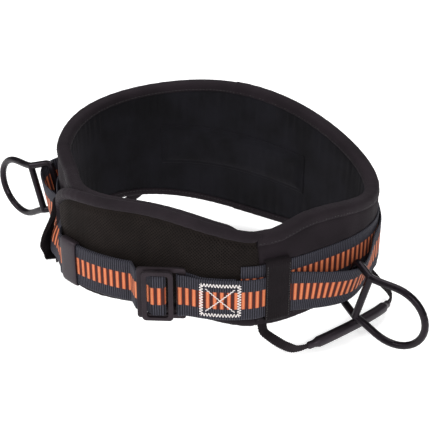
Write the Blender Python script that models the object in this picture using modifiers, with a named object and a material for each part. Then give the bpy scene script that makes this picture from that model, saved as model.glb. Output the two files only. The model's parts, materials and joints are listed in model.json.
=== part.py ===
"""Padded work-positioning belt with two side D-rings, a pass-through buckle and two gear loops.

Frame: metres, +Z up, the front of the belt faces -Y. The origin is the centre of the belt's box.
The pieces are drawn from the waist centre, which is the centre of the waist opening at the height
of the front webbing's centre line, and their parent empty brings them to the origin. Angles run
around the waist from the front (0 degrees, -Y) through the wearer's left (+X, 90 degrees). Every
size here is in millimetres and becomes metres where a mesh is made.
"""
import math

import bmesh
import bpy
import numpy as np
from mathutils import Matrix, Vector

MM = 0.001
CONTACT_GAP = 0.35
BOX_CENTRE = Vector((-15.99, 0.44, 20.26))

# Waist line: the pad's outer face, one value for each 30 degrees from the front.
PLAN_RADII = (118, 131, 143, 168, 153, 137, 135, 150, 170, 157, 144, 116)
TOP_HEIGHTS = (81, 70.5, 72, 60.5, 77, 97, 106, 101, 89, 80, 78, 82)
BOTTOM_HEIGHTS = (-26, -36, -34, -37, -45, -52, -45, -34, -33, -37, -34, -30)

# Main pad: a nearly closed band whose left end tucks behind the front flap.
PAD_START = 30.9
PAD_END = 385.0
PAD_STEP = 6.0
PAD_THICKNESS = 12.0
FOAM_CORNER = 2.0
COVER_THICKNESS = 1.2
BINDING_HEIGHT = 9.5
BINDING_THICKNESS = 1.0
BINDING_CORNER = 1.6
TUCK_START = 266.0
TUCK_END = 281.0
TUCK_DEPTH = 10.0
TUCK_DROP = 9.0

# Raised lumbar panel on the inside of the back.
LUMBAR_SPAN = (139.0, 209.0)
LUMBAR_HALF_HEIGHT = 25.0
LUMBAR_THICKNESS = 3.2
LUMBAR_SLOPE = 4.0
LUMBAR_DROP = 2.0

# Front flap: a mesh-faced cushion between the pad ends and the buckle.
FLAP_RIGHT = 30.4
FLAP_TIP = -78.0
FLAP_ROUND_START = -48.0
FLAP_ROUND_POWER = 2.3
FLAP_MIDDLE_HEIGHT = 22.0
FLAP_DROP = 4.0
FLAP_INNER = -7.5
FLAP_OUTER = 1.6
FLAP_BORDER_RADIUS = 4.0

# Webbing.
WEB_WIDTH = 44.0
WEB_THICKNESS = 1.6
PATH_STEP = 5.0
REAR_TURN_SLACK = 0.9
SLIDE_TURN_SLACK = 0.15
UPPER_STRAP_HEIGHT = 12.0
PAD_STRAP_OFFSET = 1.3

# Tunnels: fabric bridges that hold the webbing on the pad. Each is (angles, plate offsets,
# flare of the lower edge, low, high).
TUNNEL_WALL = 1.2
TUNNEL_EDGE = 2.5
TUNNEL_CHAMFER = 1.5
RIGHT_TUNNEL = ((31.6, 42.0), (7.9, 7.9), 0.0, -27.0, 38.0)
LEFT_TUNNEL = ((-88.0, -79.2), (10.0, 9.2), 10.0, -31.0, 43.0)
REAR_TUNNEL = ((170.0, 190.0), (3.8, 3.8), 0.0, -2.0, 54.0)

# D-rings: bent steel wire with a slot for the webbing and a D for the connector.
RING_WIRE_RADIUS = 3.3
RING_SLOT_DEPTH = 24.3
RING_SLOT_HALF_HEIGHT = 25.8
RING_WIDEST_HALF_WIDTH = 31.6
RING_WIDEST_AT = 58.9
RING_LENGTH = 92.0
RING_CORNER_RADIUS = 5.0
RING_BEND_DEG = 28.0
RIGHT_STRAP_ROOM = 2.0
LEFT_STRAP_ROOM = 8.0
RING_BAR_RADIUS = 3.2
RIGHT_RING_PLACE = (147.0, -61.0, -10.0)
RIGHT_RING_OUTWARD = (0.568, -0.792, -0.224)
RIGHT_RING_UP = (0.223, -0.114, 0.968)
LEFT_RING_PLACE = (-177.0, 58.0, 3.0)
LEFT_RING_OUTWARD = (-0.948, 0.131, -0.290)
LEFT_RING_UP = (-0.265, 0.176, 0.948)

# Buckle: a large rear frame and a smaller front frame on a slide bar.
BUCKLE_PLACE = (-25.0, -129.5, 3.0)
BUCKLE_YAW_DEG = 6.0
REAR_FRAME_WIDTH = 46.0
REAR_FRAME_HEIGHT = 55.5
REAR_FRAME_THICKNESS = 3.0
REAR_FRAME_WINDOW = (-17.6, 16.5)
FRAME_WINDOW_HEIGHT = 46.4
REAR_FRAME_CORNERS = (3.0, 1.0)
FRONT_FRAME_CORNERS = (4.0, 3.0)
FRONT_FRAME_CENTRE = -3.2
FRONT_FRAME_WIDTH = 29.4
FRONT_FRAME_HEIGHT = 53.4
FRONT_FRAME_THICKNESS = 3.2
FRONT_FRAME_DEPTH = 6.5
FRONT_FRAME_WINDOW_WIDTH = 20.2
SLIDE_BAR_DEPTH = 3.2
SLIDE_BAR_WIDTH = 11.0
SLIDE_BAR_THICKNESS = 2.8
SLIDE_BAR_HEIGHT = 44.4
SLIDE_BAR_EDGE = 1.1
SLIDE_PIN_RADIUS = 1.3
SLIDE_PIN_LENGTH = 50.0

# Keeper: a loop that holds the webbing tail and slides along it.
KEEPER_ARC = (-63.0, -46.0, -29.0)
KEEPER_OFFSET = 8.2
KEEPER_CENTRE = -58.5
KEEPER_LENGTH = 17.0
KEEPER_WALL = 1.6
KEEPER_CLEARANCE = 0.9
KEEPER_CORNER = 2.4
TAIL_LIFT = 2.1

# Gear loops: flat webbing with a plastic sleeve, hung under the pad's lower edge.
GEAR_BAND_WIDTH = 9.0
GEAR_BAND_SLEEVED_WIDTH = 5.0
GEAR_BAND_THICKNESS = 2.0
SLEEVE_RADIUS = 4.6
SLEEVE_WALL = 0.9
SLEEVE_SPAN = (0.27, 0.74)
SLEEVE_END_TAPER = 0.5
GEAR_BAND_NARROWING = 0.12

# Gear loop centre lines, as (angle, offset, height) from the first anchor to the last.
RIGHT_LOOP_KNOTS = ((29.5, 3.0, -42.0), (33.0, 9.0, -48.0), (39.0, 14.0, -56.5),
                    (46.0, 16.0, -62.0), (62.0, 20.0, -56.5), (79.0, 22.0, -56.0),
                    (88.0, 23.0, -59.5), (93.0, 16.0, -55.0), (95.0, 5.0, -44.0))
LEFT_LOOP_KNOTS = ((-84.0, 2.0, -42.5), (-88.0, 7.0, -52.0), (-97.0, 10.0, -61.0),
                   (-112.0, 12.0, -58.0), (-128.0, 14.0, -55.0), (-137.0, 11.0, -54.0),
                   (-142.0, 4.0, -43.0))


def periodic_spline(values):
    """Natural closed cubic curve through equally spaced values, as a function of the angle."""
    knots = np.array(values, dtype=float)
    count = len(knots)
    neighbours = np.roll(np.eye(count), 1, axis=1) + np.roll(np.eye(count), -1, axis=1)
    second = 6.0 * (np.roll(knots, -1) - 2.0 * knots + np.roll(knots, 1))
    bend = np.linalg.solve(4.0 * np.eye(count) + neighbours, second)

    def at(angle):
        place = (angle % 360.0) * count / 360.0
        first = int(place) % count
        after = place - int(place)
        before = 1.0 - after
        last = (first + 1) % count
        straight = before * knots[first] + after * knots[last]
        curved = (before ** 3 - before) * bend[first] + (after ** 3 - after) * bend[last]
        return float(straight + curved / 6.0)

    return at


plan_radius = periodic_spline(PLAN_RADII)
top_height = periodic_spline(TOP_HEIGHTS)
bottom_height = periodic_spline(BOTTOM_HEIGHTS)


def ease(value, start, end):
    """0 before start, 1 after end, smooth between."""
    part = min(max((value - start) / (end - start), 0.0), 1.0)
    return part * part * (3.0 - 2.0 * part)


def on_waist_line(angle):
    turn = math.radians(angle)
    radius = plan_radius(angle)
    return Vector((radius * math.sin(turn), -radius * math.cos(turn), 0.0))


def outward(angle):
    """Horizontal normal of the waist line."""
    tangent = on_waist_line(angle + 0.5) - on_waist_line(angle - 0.5)
    return Vector((tangent.y, -tangent.x, 0.0)).normalized()


def belt_point(angle, offset, height):
    """Point at an angle around the waist, a distance outside the waist line, and a height."""
    return on_waist_line(angle) + outward(angle) * offset + Vector((0.0, 0.0, height))


def buckle_point(along, depth, height=0.0):
    """Point in the buckle's own frame: along the belt, out of the belt, and up."""
    yaw = math.radians(BUCKLE_YAW_DEG)
    side = Vector((math.cos(yaw), math.sin(yaw), 0.0))
    out = Vector((math.sin(yaw), -math.cos(yaw), 0.0))
    return Vector(BUCKLE_PLACE) + side * along + out * depth + Vector((0.0, 0.0, height))


def span(start, end, step):
    """Evenly spaced values from start to end, at most step apart."""
    count = max(1, math.ceil(abs(end - start) / step))
    return [start + (end - start) * index / count for index in range(count + 1)]


def smooth_path(knots):
    """Catmull-Rom stations through knots of (centre, up), at most PATH_STEP apart."""
    stations = []
    for index in range(len(knots) - 1):
        near = [knots[max(index - 1, 0)], knots[index], knots[index + 1]]
        near.append(knots[min(index + 2, len(knots) - 1)])
        steps = max(1, round((near[2][0] - near[1][0]).length / PATH_STEP))
        for step in range(steps):
            part = step / steps
            stations.append((blend_knots(near, part, 0), blend_knots(near, part, 1).normalized()))
    stations.append((knots[-1][0].copy(), knots[-1][1].normalized()))
    return stations


def blend_knots(near, part, item):
    before, first, last, after = (knot[item] for knot in near)
    slope_first = (last - before) * 0.5
    slope_last = (after - first) * 0.5
    square = part * part
    cube = square * part
    return (first * (2 * cube - 3 * square + 1) + slope_first * (cube - 2 * square + part)
            + last * (3 * square - 2 * cube) + slope_last * (cube - square))


def circle_through(first, middle, last):
    """Centre and radius of the horizontal circle through three points."""
    rows = np.array([(middle - first).to_2d(), (last - first).to_2d()])
    base = first.to_2d().length_squared
    sums = np.array([middle.to_2d().length_squared - base, last.to_2d().length_squared - base])
    centre = np.linalg.solve(2.0 * rows, sums)
    centre = Vector((float(centre[0]), float(centre[1]), 0.0))
    return centre, (first.to_2d() - centre.to_2d()).length


def material(name, colour, roughness, metallic=0.0):
    made = bpy.data.materials.new(name)
    made.use_nodes = True
    shader = made.node_tree.nodes["Principled BSDF"]
    shader.inputs["Base Color"].default_value = (*colour, 1.0)
    shader.inputs["Roughness"].default_value = roughness
    shader.inputs["Metallic"].default_value = metallic
    made.diffuse_color = (*colour, 1.0)
    return made


BLACK_CLOTH = (0.012, 0.011, 0.013)
BINDING_CLOTH = (0.030, 0.024, 0.028)
MESH_CLOTH = (0.014, 0.012, 0.011)
WEBBING = (0.035, 0.037, 0.050)
TUNNEL_CLOTH = (0.018, 0.016, 0.017)
FOAM = (0.10, 0.10, 0.10)
STEEL = (0.040, 0.037, 0.042)
BLACK_STEEL = (0.015, 0.015, 0.018)
PLASTIC = (0.018, 0.017, 0.019)


def link(made, colour, roughness, metallic=0.0):
    made.data.materials.append(material(made.name, colour, roughness, metallic))
    parts.objects.link(made)
    return made


def mesh_object(name, points, faces):
    mesh = bpy.data.meshes.new(name)
    mesh.from_pydata([Vector(point) * MM for point in points], [], faces)
    work = bmesh.new()
    work.from_mesh(mesh)
    bmesh.ops.recalc_face_normals(work, faces=work.faces)
    work.to_mesh(mesh)
    work.free()
    return bpy.data.objects.new(name, mesh)


def grid_faces(rows, width, closed_across=False):
    """Quads between successive rows of equal width."""
    faces = []
    columns = width if closed_across else width - 1
    for row in range(rows - 1):
        for column in range(columns):
            beside = (column + 1) % width
            low = row * width
            high = low + width
            faces.append((low + column, low + beside, high + beside, high + column))
    return faces


def loft(name, rings, look):
    """Closed solid through equal rings of points, with flat caps at both ends."""
    width = len(rings[0])
    points = [point for ring in rings for point in ring]
    faces = grid_faces(len(rings), width, closed_across=True)
    faces.append(tuple(range(width)))
    faces.append(tuple(range(len(points) - width, len(points))))
    return link(mesh_object(name, points, faces), *look)


def sheet(name, rows, thickness, look, closed_across=False):
    """Open surface through rows of points, made solid about its middle."""
    points = [point for row in rows for point in row]
    faces = grid_faces(len(rows), len(rows[0]), closed_across)
    made = mesh_object(name, points, faces)
    shell = made.modifiers.new("thickness", "SOLIDIFY")
    shell.thickness = thickness * MM
    shell.offset = 0.0
    shell.use_even_offset = True
    return link(made, *look)


def ribbon(name, stations, widths, thickness, look):
    """Flat strap along stations of (centre, up), with one width or one for each station."""
    rows = []
    for index, (centre, up) in enumerate(stations):
        width = widths if isinstance(widths, float) else widths[index]
        rows.append((centre - up * width / 2, centre + up * width / 2))
    return sheet(name, rows, thickness, look)


def tuck(angle):
    """How far the pad is pushed inside the waist line, behind the front flap."""
    return -TUCK_DEPTH * ease(angle, TUCK_START, TUCK_END)


def pad_top(angle):
    """Upper edge of the pad, which drops a little where it is tucked behind the flap."""
    return top_height(angle) - TUCK_DROP * ease(angle, TUCK_START, TUCK_END)


def pad_angles(trim=0.0):
    return span(PAD_START + trim, PAD_END - trim, PAD_STEP)


def pad_core():
    outer = -(COVER_THICKNESS + CONTACT_GAP)
    inner = -(PAD_THICKNESS - COVER_THICKNESS - CONTACT_GAP)
    corner = FOAM_CORNER
    rings = []
    for angle in pad_angles():
        low = bottom_height(angle) + BINDING_THICKNESS + CONTACT_GAP
        high = pad_top(angle) - BINDING_THICKNESS - CONTACT_GAP
        section = ((outer, low + corner), (outer, high - corner), (outer - corner, high),
                   (inner + corner, high), (inner, high - corner), (inner, low + corner),
                   (inner + corner, low), (outer - corner, low))
        rings.append([belt_point(angle, tuck(angle) + offset, z) for offset, z in section])
    loft("pad_core", rings, (FOAM, 0.9))


def pad_skin(name, offset):
    """Fabric face of the pad, between its two edge bindings."""
    rows = []
    for angle in pad_angles():
        low = bottom_height(angle) + BINDING_HEIGHT + CONTACT_GAP
        high = pad_top(angle) - BINDING_HEIGHT - CONTACT_GAP
        rows.append([belt_point(angle, tuck(angle) + offset, z) for z in (low, high)])
    sheet(name, rows, COVER_THICKNESS, (BLACK_CLOTH, 0.85))


def pad_binding(name, edge_height, inward):
    """Folded tape over one edge of the pad; inward is +1 for an edge whose pad lies above it."""
    half_wall = BINDING_THICKNESS / 2
    outer = -half_wall
    inner = -PAD_THICKNESS + half_wall
    corner = BINDING_CORNER
    rows = []
    for angle in pad_angles():
        edge = edge_height(angle) + inward * half_wall
        tip = edge + inward * (BINDING_HEIGHT - half_wall)
        shoulder = edge + inward * corner
        section = ((outer, tip), (outer, shoulder), (outer - corner, edge),
                   (inner + corner, edge), (inner, shoulder), (inner, tip))
        rows.append([belt_point(angle, tuck(angle) + offset, z) for offset, z in section])
    sheet(name, rows, BINDING_THICKNESS, (BINDING_CLOTH, 0.8))


def lumbar_pad():
    face = -(PAD_THICKNESS + CONTACT_GAP)
    back = face - LUMBAR_THICKNESS
    rings = []
    for angle in span(LUMBAR_SPAN[0], LUMBAR_SPAN[1], PAD_STEP):
        middle = (top_height(angle) + bottom_height(angle)) / 2 - LUMBAR_DROP
        low = middle - LUMBAR_HALF_HEIGHT
        high = middle + LUMBAR_HALF_HEIGHT
        section = ((face, low), (face, high), (back, high - LUMBAR_SLOPE), (back, low + LUMBAR_SLOPE))
        rings.append([belt_point(angle, offset, z) for offset, z in section])
    loft("lumbar_pad", rings, (BLACK_CLOTH, 0.9))


def flap_tip(inset):
    """Angle of the flap's left tip, moved in from the outline by an inset."""
    return FLAP_TIP + math.degrees(inset / plan_radius(FLAP_TIP))


def flap_edge(angle, inset):
    """Lower and upper edge of the flap, which closes in a round tip on the left."""
    past = max(FLAP_ROUND_START - angle, 0.0) / (FLAP_ROUND_START - flap_tip(inset))
    shape = max(1.0 - past ** FLAP_ROUND_POWER, 0.0) ** (1.0 / FLAP_ROUND_POWER)
    low = FLAP_MIDDLE_HEIGHT + (bottom_height(angle) + inset - FLAP_MIDDLE_HEIGHT) * shape
    reach = top_height(angle) - FLAP_DROP - inset - FLAP_MIDDLE_HEIGHT
    high = FLAP_MIDDLE_HEIGHT + reach * shape
    return low, high


def flap_angles(inset):
    reach = flap_tip(inset) - FLAP_ROUND_START
    quarter = [math.sin(math.radians(turn)) for turn in span(15.0, 75.0, 15.0)]
    straight = span(FLAP_RIGHT, FLAP_ROUND_START, PAD_STEP)
    return straight + [FLAP_ROUND_START + reach * part for part in quarter]


def flap_core():
    inset = 2 * (FLAP_BORDER_RADIUS + CONTACT_GAP)
    corner = FOAM_CORNER
    rings = []
    for angle in flap_angles(inset):
        low, high = flap_edge(angle, inset)
        section = ((FLAP_OUTER, low + corner), (FLAP_OUTER, high - corner), (FLAP_OUTER - corner, high),
                   (FLAP_INNER + corner, high), (FLAP_INNER, high - corner),
                   (FLAP_INNER, low + corner), (FLAP_INNER + corner, low), (FLAP_OUTER - corner, low))
        rings.append([belt_point(angle, offset, z) for offset, z in section])
    loft("flap_core", rings, (MESH_CLOTH, 0.9))


def tube(name, points, radius, look, cyclic=False):
    """Round wire along points."""
    curve = bpy.data.curves.new(name, "CURVE")
    curve.dimensions = "3D"
    curve.bevel_depth = radius * MM
    curve.bevel_resolution = 2
    curve.use_fill_caps = True
    line = curve.splines.new("POLY")
    line.points.add(len(points) - 1)
    for spot, point in zip(line.points, points):
        spot.co = (*(Vector(point) * MM), 1.0)
    line.use_cyclic_u = cyclic
    return link(bpy.data.objects.new(name, curve), *look)


def flap_border():
    """Rolled edge: along the top, round the left tip and back along the bottom."""
    middle = (FLAP_INNER + FLAP_OUTER) / 2
    angles = flap_angles(FLAP_BORDER_RADIUS)
    upper = [belt_point(angle, middle, flap_edge(angle, FLAP_BORDER_RADIUS)[1]) for angle in angles]
    lower = [belt_point(angle, middle, flap_edge(angle, FLAP_BORDER_RADIUS)[0]) for angle in angles]
    tip = belt_point(flap_tip(FLAP_BORDER_RADIUS), middle, FLAP_MIDDLE_HEIGHT)
    path = upper + [tip] + lower[::-1]
    tube("flap_border", path, FLAP_BORDER_RADIUS, (BINDING_CLOTH, 0.8))


def tunnel(name, angles, plate_offsets, flare, low, high):
    """Fabric bridge over the webbing, sewn to the pad; flare pushes its lower edge out."""
    foot = CONTACT_GAP + TUNNEL_WALL / 2
    rows = []
    steps = span(0.0, 1.0, 0.25)
    for part in steps:
        angle = angles[0] + (angles[1] - angles[0]) * part
        plate = plate_offsets[0] + (plate_offsets[1] - plate_offsets[0]) * part
        section = ((foot, low), (plate + flare - TUNNEL_CHAMFER, low), (plate + flare, low + TUNNEL_EDGE),
                   (plate, high - TUNNEL_EDGE), (plate - TUNNEL_CHAMFER, high), (foot, high))
        rows.append([belt_point(angle, offset, z) for offset, z in section])
    sheet(name, rows, TUNNEL_WALL, (TUNNEL_CLOTH, 0.9))


UP = Vector((0.0, 0.0, 1.0))


def belt_knots(angles, offsets, heights):
    """Webbing knots between two ends on the belt, changing evenly from one to the other."""
    knots = []
    for part in span(0.0, 1.0, PATH_STEP / max(abs(angles[1] - angles[0]), 1.0)):
        angle = angles[0] + (angles[1] - angles[0]) * part
        offset = offsets[0] + (offsets[1] - offsets[0]) * part
        height = heights[0] + (heights[1] - heights[0]) * part
        knots.append((belt_point(angle, offset, height), UP))
    return knots


def ring_knot(place, ring_outward, ring_up, room):
    """Where the webbing crosses the ring's slot, with room between it and the attachment bar."""
    lift = RING_WIRE_RADIUS + room + WEB_THICKNESS / 2
    return (Vector(place) + Vector(ring_outward).normalized() * lift, Vector(ring_up).normalized())


def turn_knots(centre_along, centre_depth, radius, start_deg, end_deg):
    """Webbing knots round a bar of the buckle; 0 degrees points along the belt, 90 out of it."""
    knots = []
    for turn in span(start_deg, end_deg, 30.0):
        along = centre_along + radius * math.cos(math.radians(turn))
        depth = centre_depth + radius * math.sin(math.radians(turn))
        knots.append((buckle_point(along, depth), UP))
    return knots


def back_webbing():
    """Upper strap: from behind the front webbing, round the back of the pad to the left tunnel."""
    flat = (PAD_STRAP_OFFSET, PAD_STRAP_OFFSET)
    start = UPPER_STRAP_HEIGHT
    knots = belt_knots((22.0, 30.0), (3.5, 3.2), (start, start))
    knots += belt_knots((35.0, 90.0), flat, (start, start - 1.0))
    knots += belt_knots((95.0, 180.0), flat, (start, start + 14.0))
    knots += belt_knots((185.0, 270.0), flat, (start + 14.0, start + 6.0))
    knots += belt_knots((272.0, 277.0), (1.0, 0.0), (17.0, 15.0))
    ribbon("back_webbing", smooth_path(knots), WEB_WIDTH, WEB_THICKNESS, (WEBBING, 0.7))


def right_webbing():
    """From the fold under the box stitch, round the buckle, through the tunnel to the D-ring."""
    bar_middle = (REAR_FRAME_WINDOW[1] + REAR_FRAME_WIDTH / 2) / 2
    turn_radius = REAR_FRAME_THICKNESS / 2 + CONTACT_GAP + WEB_THICKNESS / 2 + REAR_TURN_SLACK
    turn_centre = REAR_FRAME_WINDOW[1] + 1.7
    knots = belt_knots((20.0, 6.0), (5.4, 6.2), (0.0, 0.0))
    knots.append((buckle_point(bar_middle + 1.0, -turn_radius), UP))
    knots += turn_knots(turn_centre, 0.0, turn_radius, 270.0, 90.0)
    knots.append((buckle_point(bar_middle + 1.0, turn_radius), UP))
    knots += belt_knots((6.0, 28.0), (9.4, 7.4), (0.0, 0.0))
    knots += belt_knots((32.0, 42.0), (5.6, 5.0), (0.0, -0.5))
    knots.append(ring_knot(RIGHT_RING_PLACE, RIGHT_RING_OUTWARD, RIGHT_RING_UP, RIGHT_STRAP_ROOM))
    knots += belt_knots((83.0, 92.0), (5.4, 4.1), (1.0, 5.0))
    knots += belt_knots((99.0, 125.0), (3.6, 3.6), (8.0, 14.0))
    ribbon("right_webbing", smooth_path(knots), WEB_WIDTH, WEB_THICKNESS, (WEBBING, 0.7))


def keeper_arc():
    return circle_through(*[belt_point(angle, KEEPER_OFFSET, 0.0) for angle in KEEPER_ARC])


def arc_knots(start, end, lift):
    """Webbing knots on the keeper's arc, between the directions of two belt angles."""
    centre, radius = keeper_arc()
    turns = []
    for angle in (start, end):
        spoke = belt_point(angle, KEEPER_OFFSET, 0.0) - centre
        turns.append(math.degrees(math.atan2(spoke.y, spoke.x)))
    knots = []
    for turn in span(turns[0], turns[1], 2.5):
        spoke = Vector((math.cos(math.radians(turn)), math.sin(math.radians(turn)), 0.0))
        knots.append((centre + spoke * (radius + lift), UP))
    return knots


def left_webbing():
    """From the back, through the D-ring and the tunnel, round the slide bar and back as the tail."""
    half_bar = (SLIDE_BAR_WIDTH - SLIDE_BAR_THICKNESS) / 2
    turn_radius = (SLIDE_BAR_THICKNESS + WEB_THICKNESS) / 2 + CONTACT_GAP + SLIDE_TURN_SLACK
    knots = belt_knots((225.0, 243.0), (4.0, 7.0), (20.0, 14.0))
    knots.append(ring_knot(LEFT_RING_PLACE, LEFT_RING_OUTWARD, LEFT_RING_UP, LEFT_STRAP_ROOM))
    knots += belt_knots((274.0, 290.0), (6.6, 6.0), (0.0, 0.0))
    knots += arc_knots(KEEPER_ARC[0], KEEPER_ARC[2], 0.0)
    knots += [(buckle_point(-24.0, -6.4), UP), (buckle_point(-17.5, -4.9), UP)]
    knots.append((buckle_point(-11.5, -0.9), UP))
    knots += turn_knots(FRONT_FRAME_CENTRE + half_bar, SLIDE_BAR_DEPTH, turn_radius, 270.0, 450.0)
    knots += turn_knots(FRONT_FRAME_CENTRE - half_bar, SLIDE_BAR_DEPTH, turn_radius, 90.0, 180.0)
    knots += [(buckle_point(-12.2, 0.9), UP), (buckle_point(-17.5, -2.75), UP)]
    knots.append((buckle_point(-24.0, -4.1), UP))
    knots += arc_knots(KEEPER_ARC[2], KEEPER_ARC[0], TAIL_LIFT)
    ribbon("left_webbing", smooth_path(knots), WEB_WIDTH, WEB_THICKNESS, (WEBBING, 0.7))


def rounded_rectangle(left, right, low, high, radius):
    """Corner points of a rectangle with round corners, counter-clockwise."""
    points = []
    corners = ((right, high, 0.0), (left, high, 90.0), (left, low, 180.0), (right, low, 270.0))
    middle = ((left + right) / 2, (low + high) / 2)
    for x, y, start in corners:
        centre_x = x - math.copysign(radius, x - middle[0])
        centre_y = y - math.copysign(radius, y - middle[1])
        for turn in span(start, start + 90.0, 22.5):
            points.append((centre_x + radius * math.cos(math.radians(turn)),
                           centre_y + radius * math.sin(math.radians(turn))))
    return points


def plate(name, outlines, thickness, place, look):
    """Flat plate from closed outlines, standing upright in the buckle's frame."""
    curve = bpy.data.curves.new(name, "CURVE")
    curve.dimensions = "2D"
    curve.fill_mode = "BOTH"
    curve.extrude = thickness / 2 * MM
    for outline in outlines:
        line = curve.splines.new("POLY")
        line.points.add(len(outline) - 1)
        for spot, point in zip(line.points, outline):
            spot.co = (point[0] * MM, point[1] * MM, 0.0, 1.0)
        line.use_cyclic_u = True
    made = link(bpy.data.objects.new(name, curve), *look)
    upright = Matrix.Rotation(math.radians(90.0), 4, "X")
    yaw = Matrix.Rotation(math.radians(BUCKLE_YAW_DEG), 4, "Z")
    made.matrix_world = Matrix.Translation(place * MM) @ yaw @ upright
    return made


def buckle_frames():
    half_width = REAR_FRAME_WIDTH / 2
    half_height = REAR_FRAME_HEIGHT / 2
    half_window = FRAME_WINDOW_HEIGHT / 2
    hinge = (REAR_FRAME_WINDOW[1] + half_width) / 2
    outer_corner, window_corner = REAR_FRAME_CORNERS
    outline = rounded_rectangle(-half_width - hinge, half_width - hinge,
                                -half_height, half_height, outer_corner)
    window = rounded_rectangle(REAR_FRAME_WINDOW[0] - hinge, REAR_FRAME_WINDOW[1] - hinge,
                               -half_window, half_window, window_corner)
    plate("buckle_rear_frame", (outline, window), REAR_FRAME_THICKNESS, buckle_point(hinge, 0.0),
          (STEEL, 0.4, 0.8))
    outer_corner, window_corner = FRONT_FRAME_CORNERS
    outline = rounded_rectangle(-FRONT_FRAME_WIDTH / 2, FRONT_FRAME_WIDTH / 2,
                                -FRONT_FRAME_HEIGHT / 2, FRONT_FRAME_HEIGHT / 2, outer_corner)
    window = rounded_rectangle(-FRONT_FRAME_WINDOW_WIDTH / 2, FRONT_FRAME_WINDOW_WIDTH / 2,
                               -half_window, half_window, window_corner)
    front = plate("buckle_front_frame", (outline, window), FRONT_FRAME_THICKNESS,
                  buckle_point(FRONT_FRAME_CENTRE, SLIDE_BAR_DEPTH), (STEEL, 0.4, 0.8))
    for line in front.data.splines:
        for spot in line.points:
            spot.co.z = (FRONT_FRAME_DEPTH - SLIDE_BAR_DEPTH) * MM


def joined(target, cutter, operation):
    """Boolean on the target; the cutter is kept hidden with the other cutters."""
    cutters.objects.link(cutter)
    cutter.hide_render = True
    cutter.display_type = "WIRE"
    step = target.modifiers.new(operation.lower(), "BOOLEAN")
    step.operation = operation
    step.object = cutter
    step.solver = "EXACT"


def cylinder_mesh(name, radius, length, sides):
    """Cylinder about its local Z."""
    mesh = bpy.data.meshes.new(name)
    work = bmesh.new()
    bmesh.ops.create_cone(work, cap_ends=True, segments=sides, radius1=radius * MM,
                          radius2=radius * MM, depth=length * MM)
    work.to_mesh(mesh)
    work.free()
    return mesh


def slide_bar():
    """Flat bar inside the webbing's turn, with a round pin at each end behind the front frame."""
    mesh = bpy.data.meshes.new("buckle_slide_bar")
    work = bmesh.new()
    bmesh.ops.create_cube(work, size=MM)
    size = (SLIDE_BAR_WIDTH, SLIDE_BAR_THICKNESS, SLIDE_BAR_HEIGHT)
    bmesh.ops.scale(work, vec=size, verts=work.verts)
    upright = [edge for edge in work.edges if abs((edge.verts[0].co - edge.verts[1].co).z) > MM]
    bmesh.ops.bevel(work, geom=upright, offset=SLIDE_BAR_EDGE * MM, segments=3, affect="EDGES", profile=0.5)
    work.to_mesh(mesh)
    work.free()
    bar = link(bpy.data.objects.new("buckle_slide_bar", mesh), STEEL, 0.4, 0.8)
    pin = bpy.data.objects.new("slide_pin", cylinder_mesh("slide_pin", SLIDE_PIN_RADIUS,
                                                          SLIDE_PIN_LENGTH, 16))
    place = Matrix.Translation(buckle_point(FRONT_FRAME_CENTRE, SLIDE_BAR_DEPTH) * MM)
    yaw = Matrix.Rotation(math.radians(BUCKLE_YAW_DEG), 4, "Z")
    bar.matrix_world = place @ yaw
    pin.matrix_world = place @ yaw
    joined(bar, pin, "UNION")


def keeper():
    """Loop round both layers of webbing, following the keeper's arc."""
    centre, radius = keeper_arc()
    spoke = belt_point(KEEPER_CENTRE, KEEPER_OFFSET, 0.0) - centre
    middle_turn = math.degrees(math.atan2(spoke.y, spoke.x))
    half_turn = math.degrees(KEEPER_LENGTH / 2 / radius)
    room = KEEPER_CLEARANCE + KEEPER_WALL / 2
    inner = radius - WEB_THICKNESS / 2 - room
    outer = radius + TAIL_LIFT + WEB_THICKNESS / 2 + room
    half_height = WEB_WIDTH / 2 + room
    section = rounded_rectangle(inner, outer, -half_height, half_height, KEEPER_CORNER)
    rows = []
    for turn in span(middle_turn - half_turn, middle_turn + half_turn, 3.0):
        across = Vector((math.cos(math.radians(turn)), math.sin(math.radians(turn)), 0.0))
        rows.append([(across * reach + UP * height) for reach, height in section])
    made = sheet("webbing_keeper", rows, KEEPER_WALL, (PLASTIC, 0.6), closed_across=True)
    made.location = centre * MM


def ring_outline():
    """Closed centre line of a D-ring, as (out from the attachment bar, along it)."""
    half = RING_SLOT_HALF_HEIGHT
    corner = RING_CORNER_RADIUS
    upper = []
    for turn in span(180.0, 90.0, 30.0):
        upper.append((corner + corner * math.cos(math.radians(turn)),
                      half - corner + corner * math.sin(math.radians(turn))))
    upper.append((RING_SLOT_DEPTH - 2.0, half))
    for out in span(RING_SLOT_DEPTH, RING_WIDEST_AT, 5.0):
        flare = ease(out, RING_SLOT_DEPTH, RING_WIDEST_AT)
        upper.append((out, half + (RING_WIDEST_HALF_WIDTH - half) * flare))
    reach = RING_LENGTH - RING_WIDEST_AT
    for turn in span(80.0, 10.0, 10.0):
        upper.append((RING_WIDEST_AT + reach * math.cos(math.radians(turn)),
                      RING_WIDEST_HALF_WIDTH * math.sin(math.radians(turn))))
    lower = [(out, -along) for out, along in reversed(upper)]
    return upper + [(RING_LENGTH, 0.0)] + lower


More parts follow.
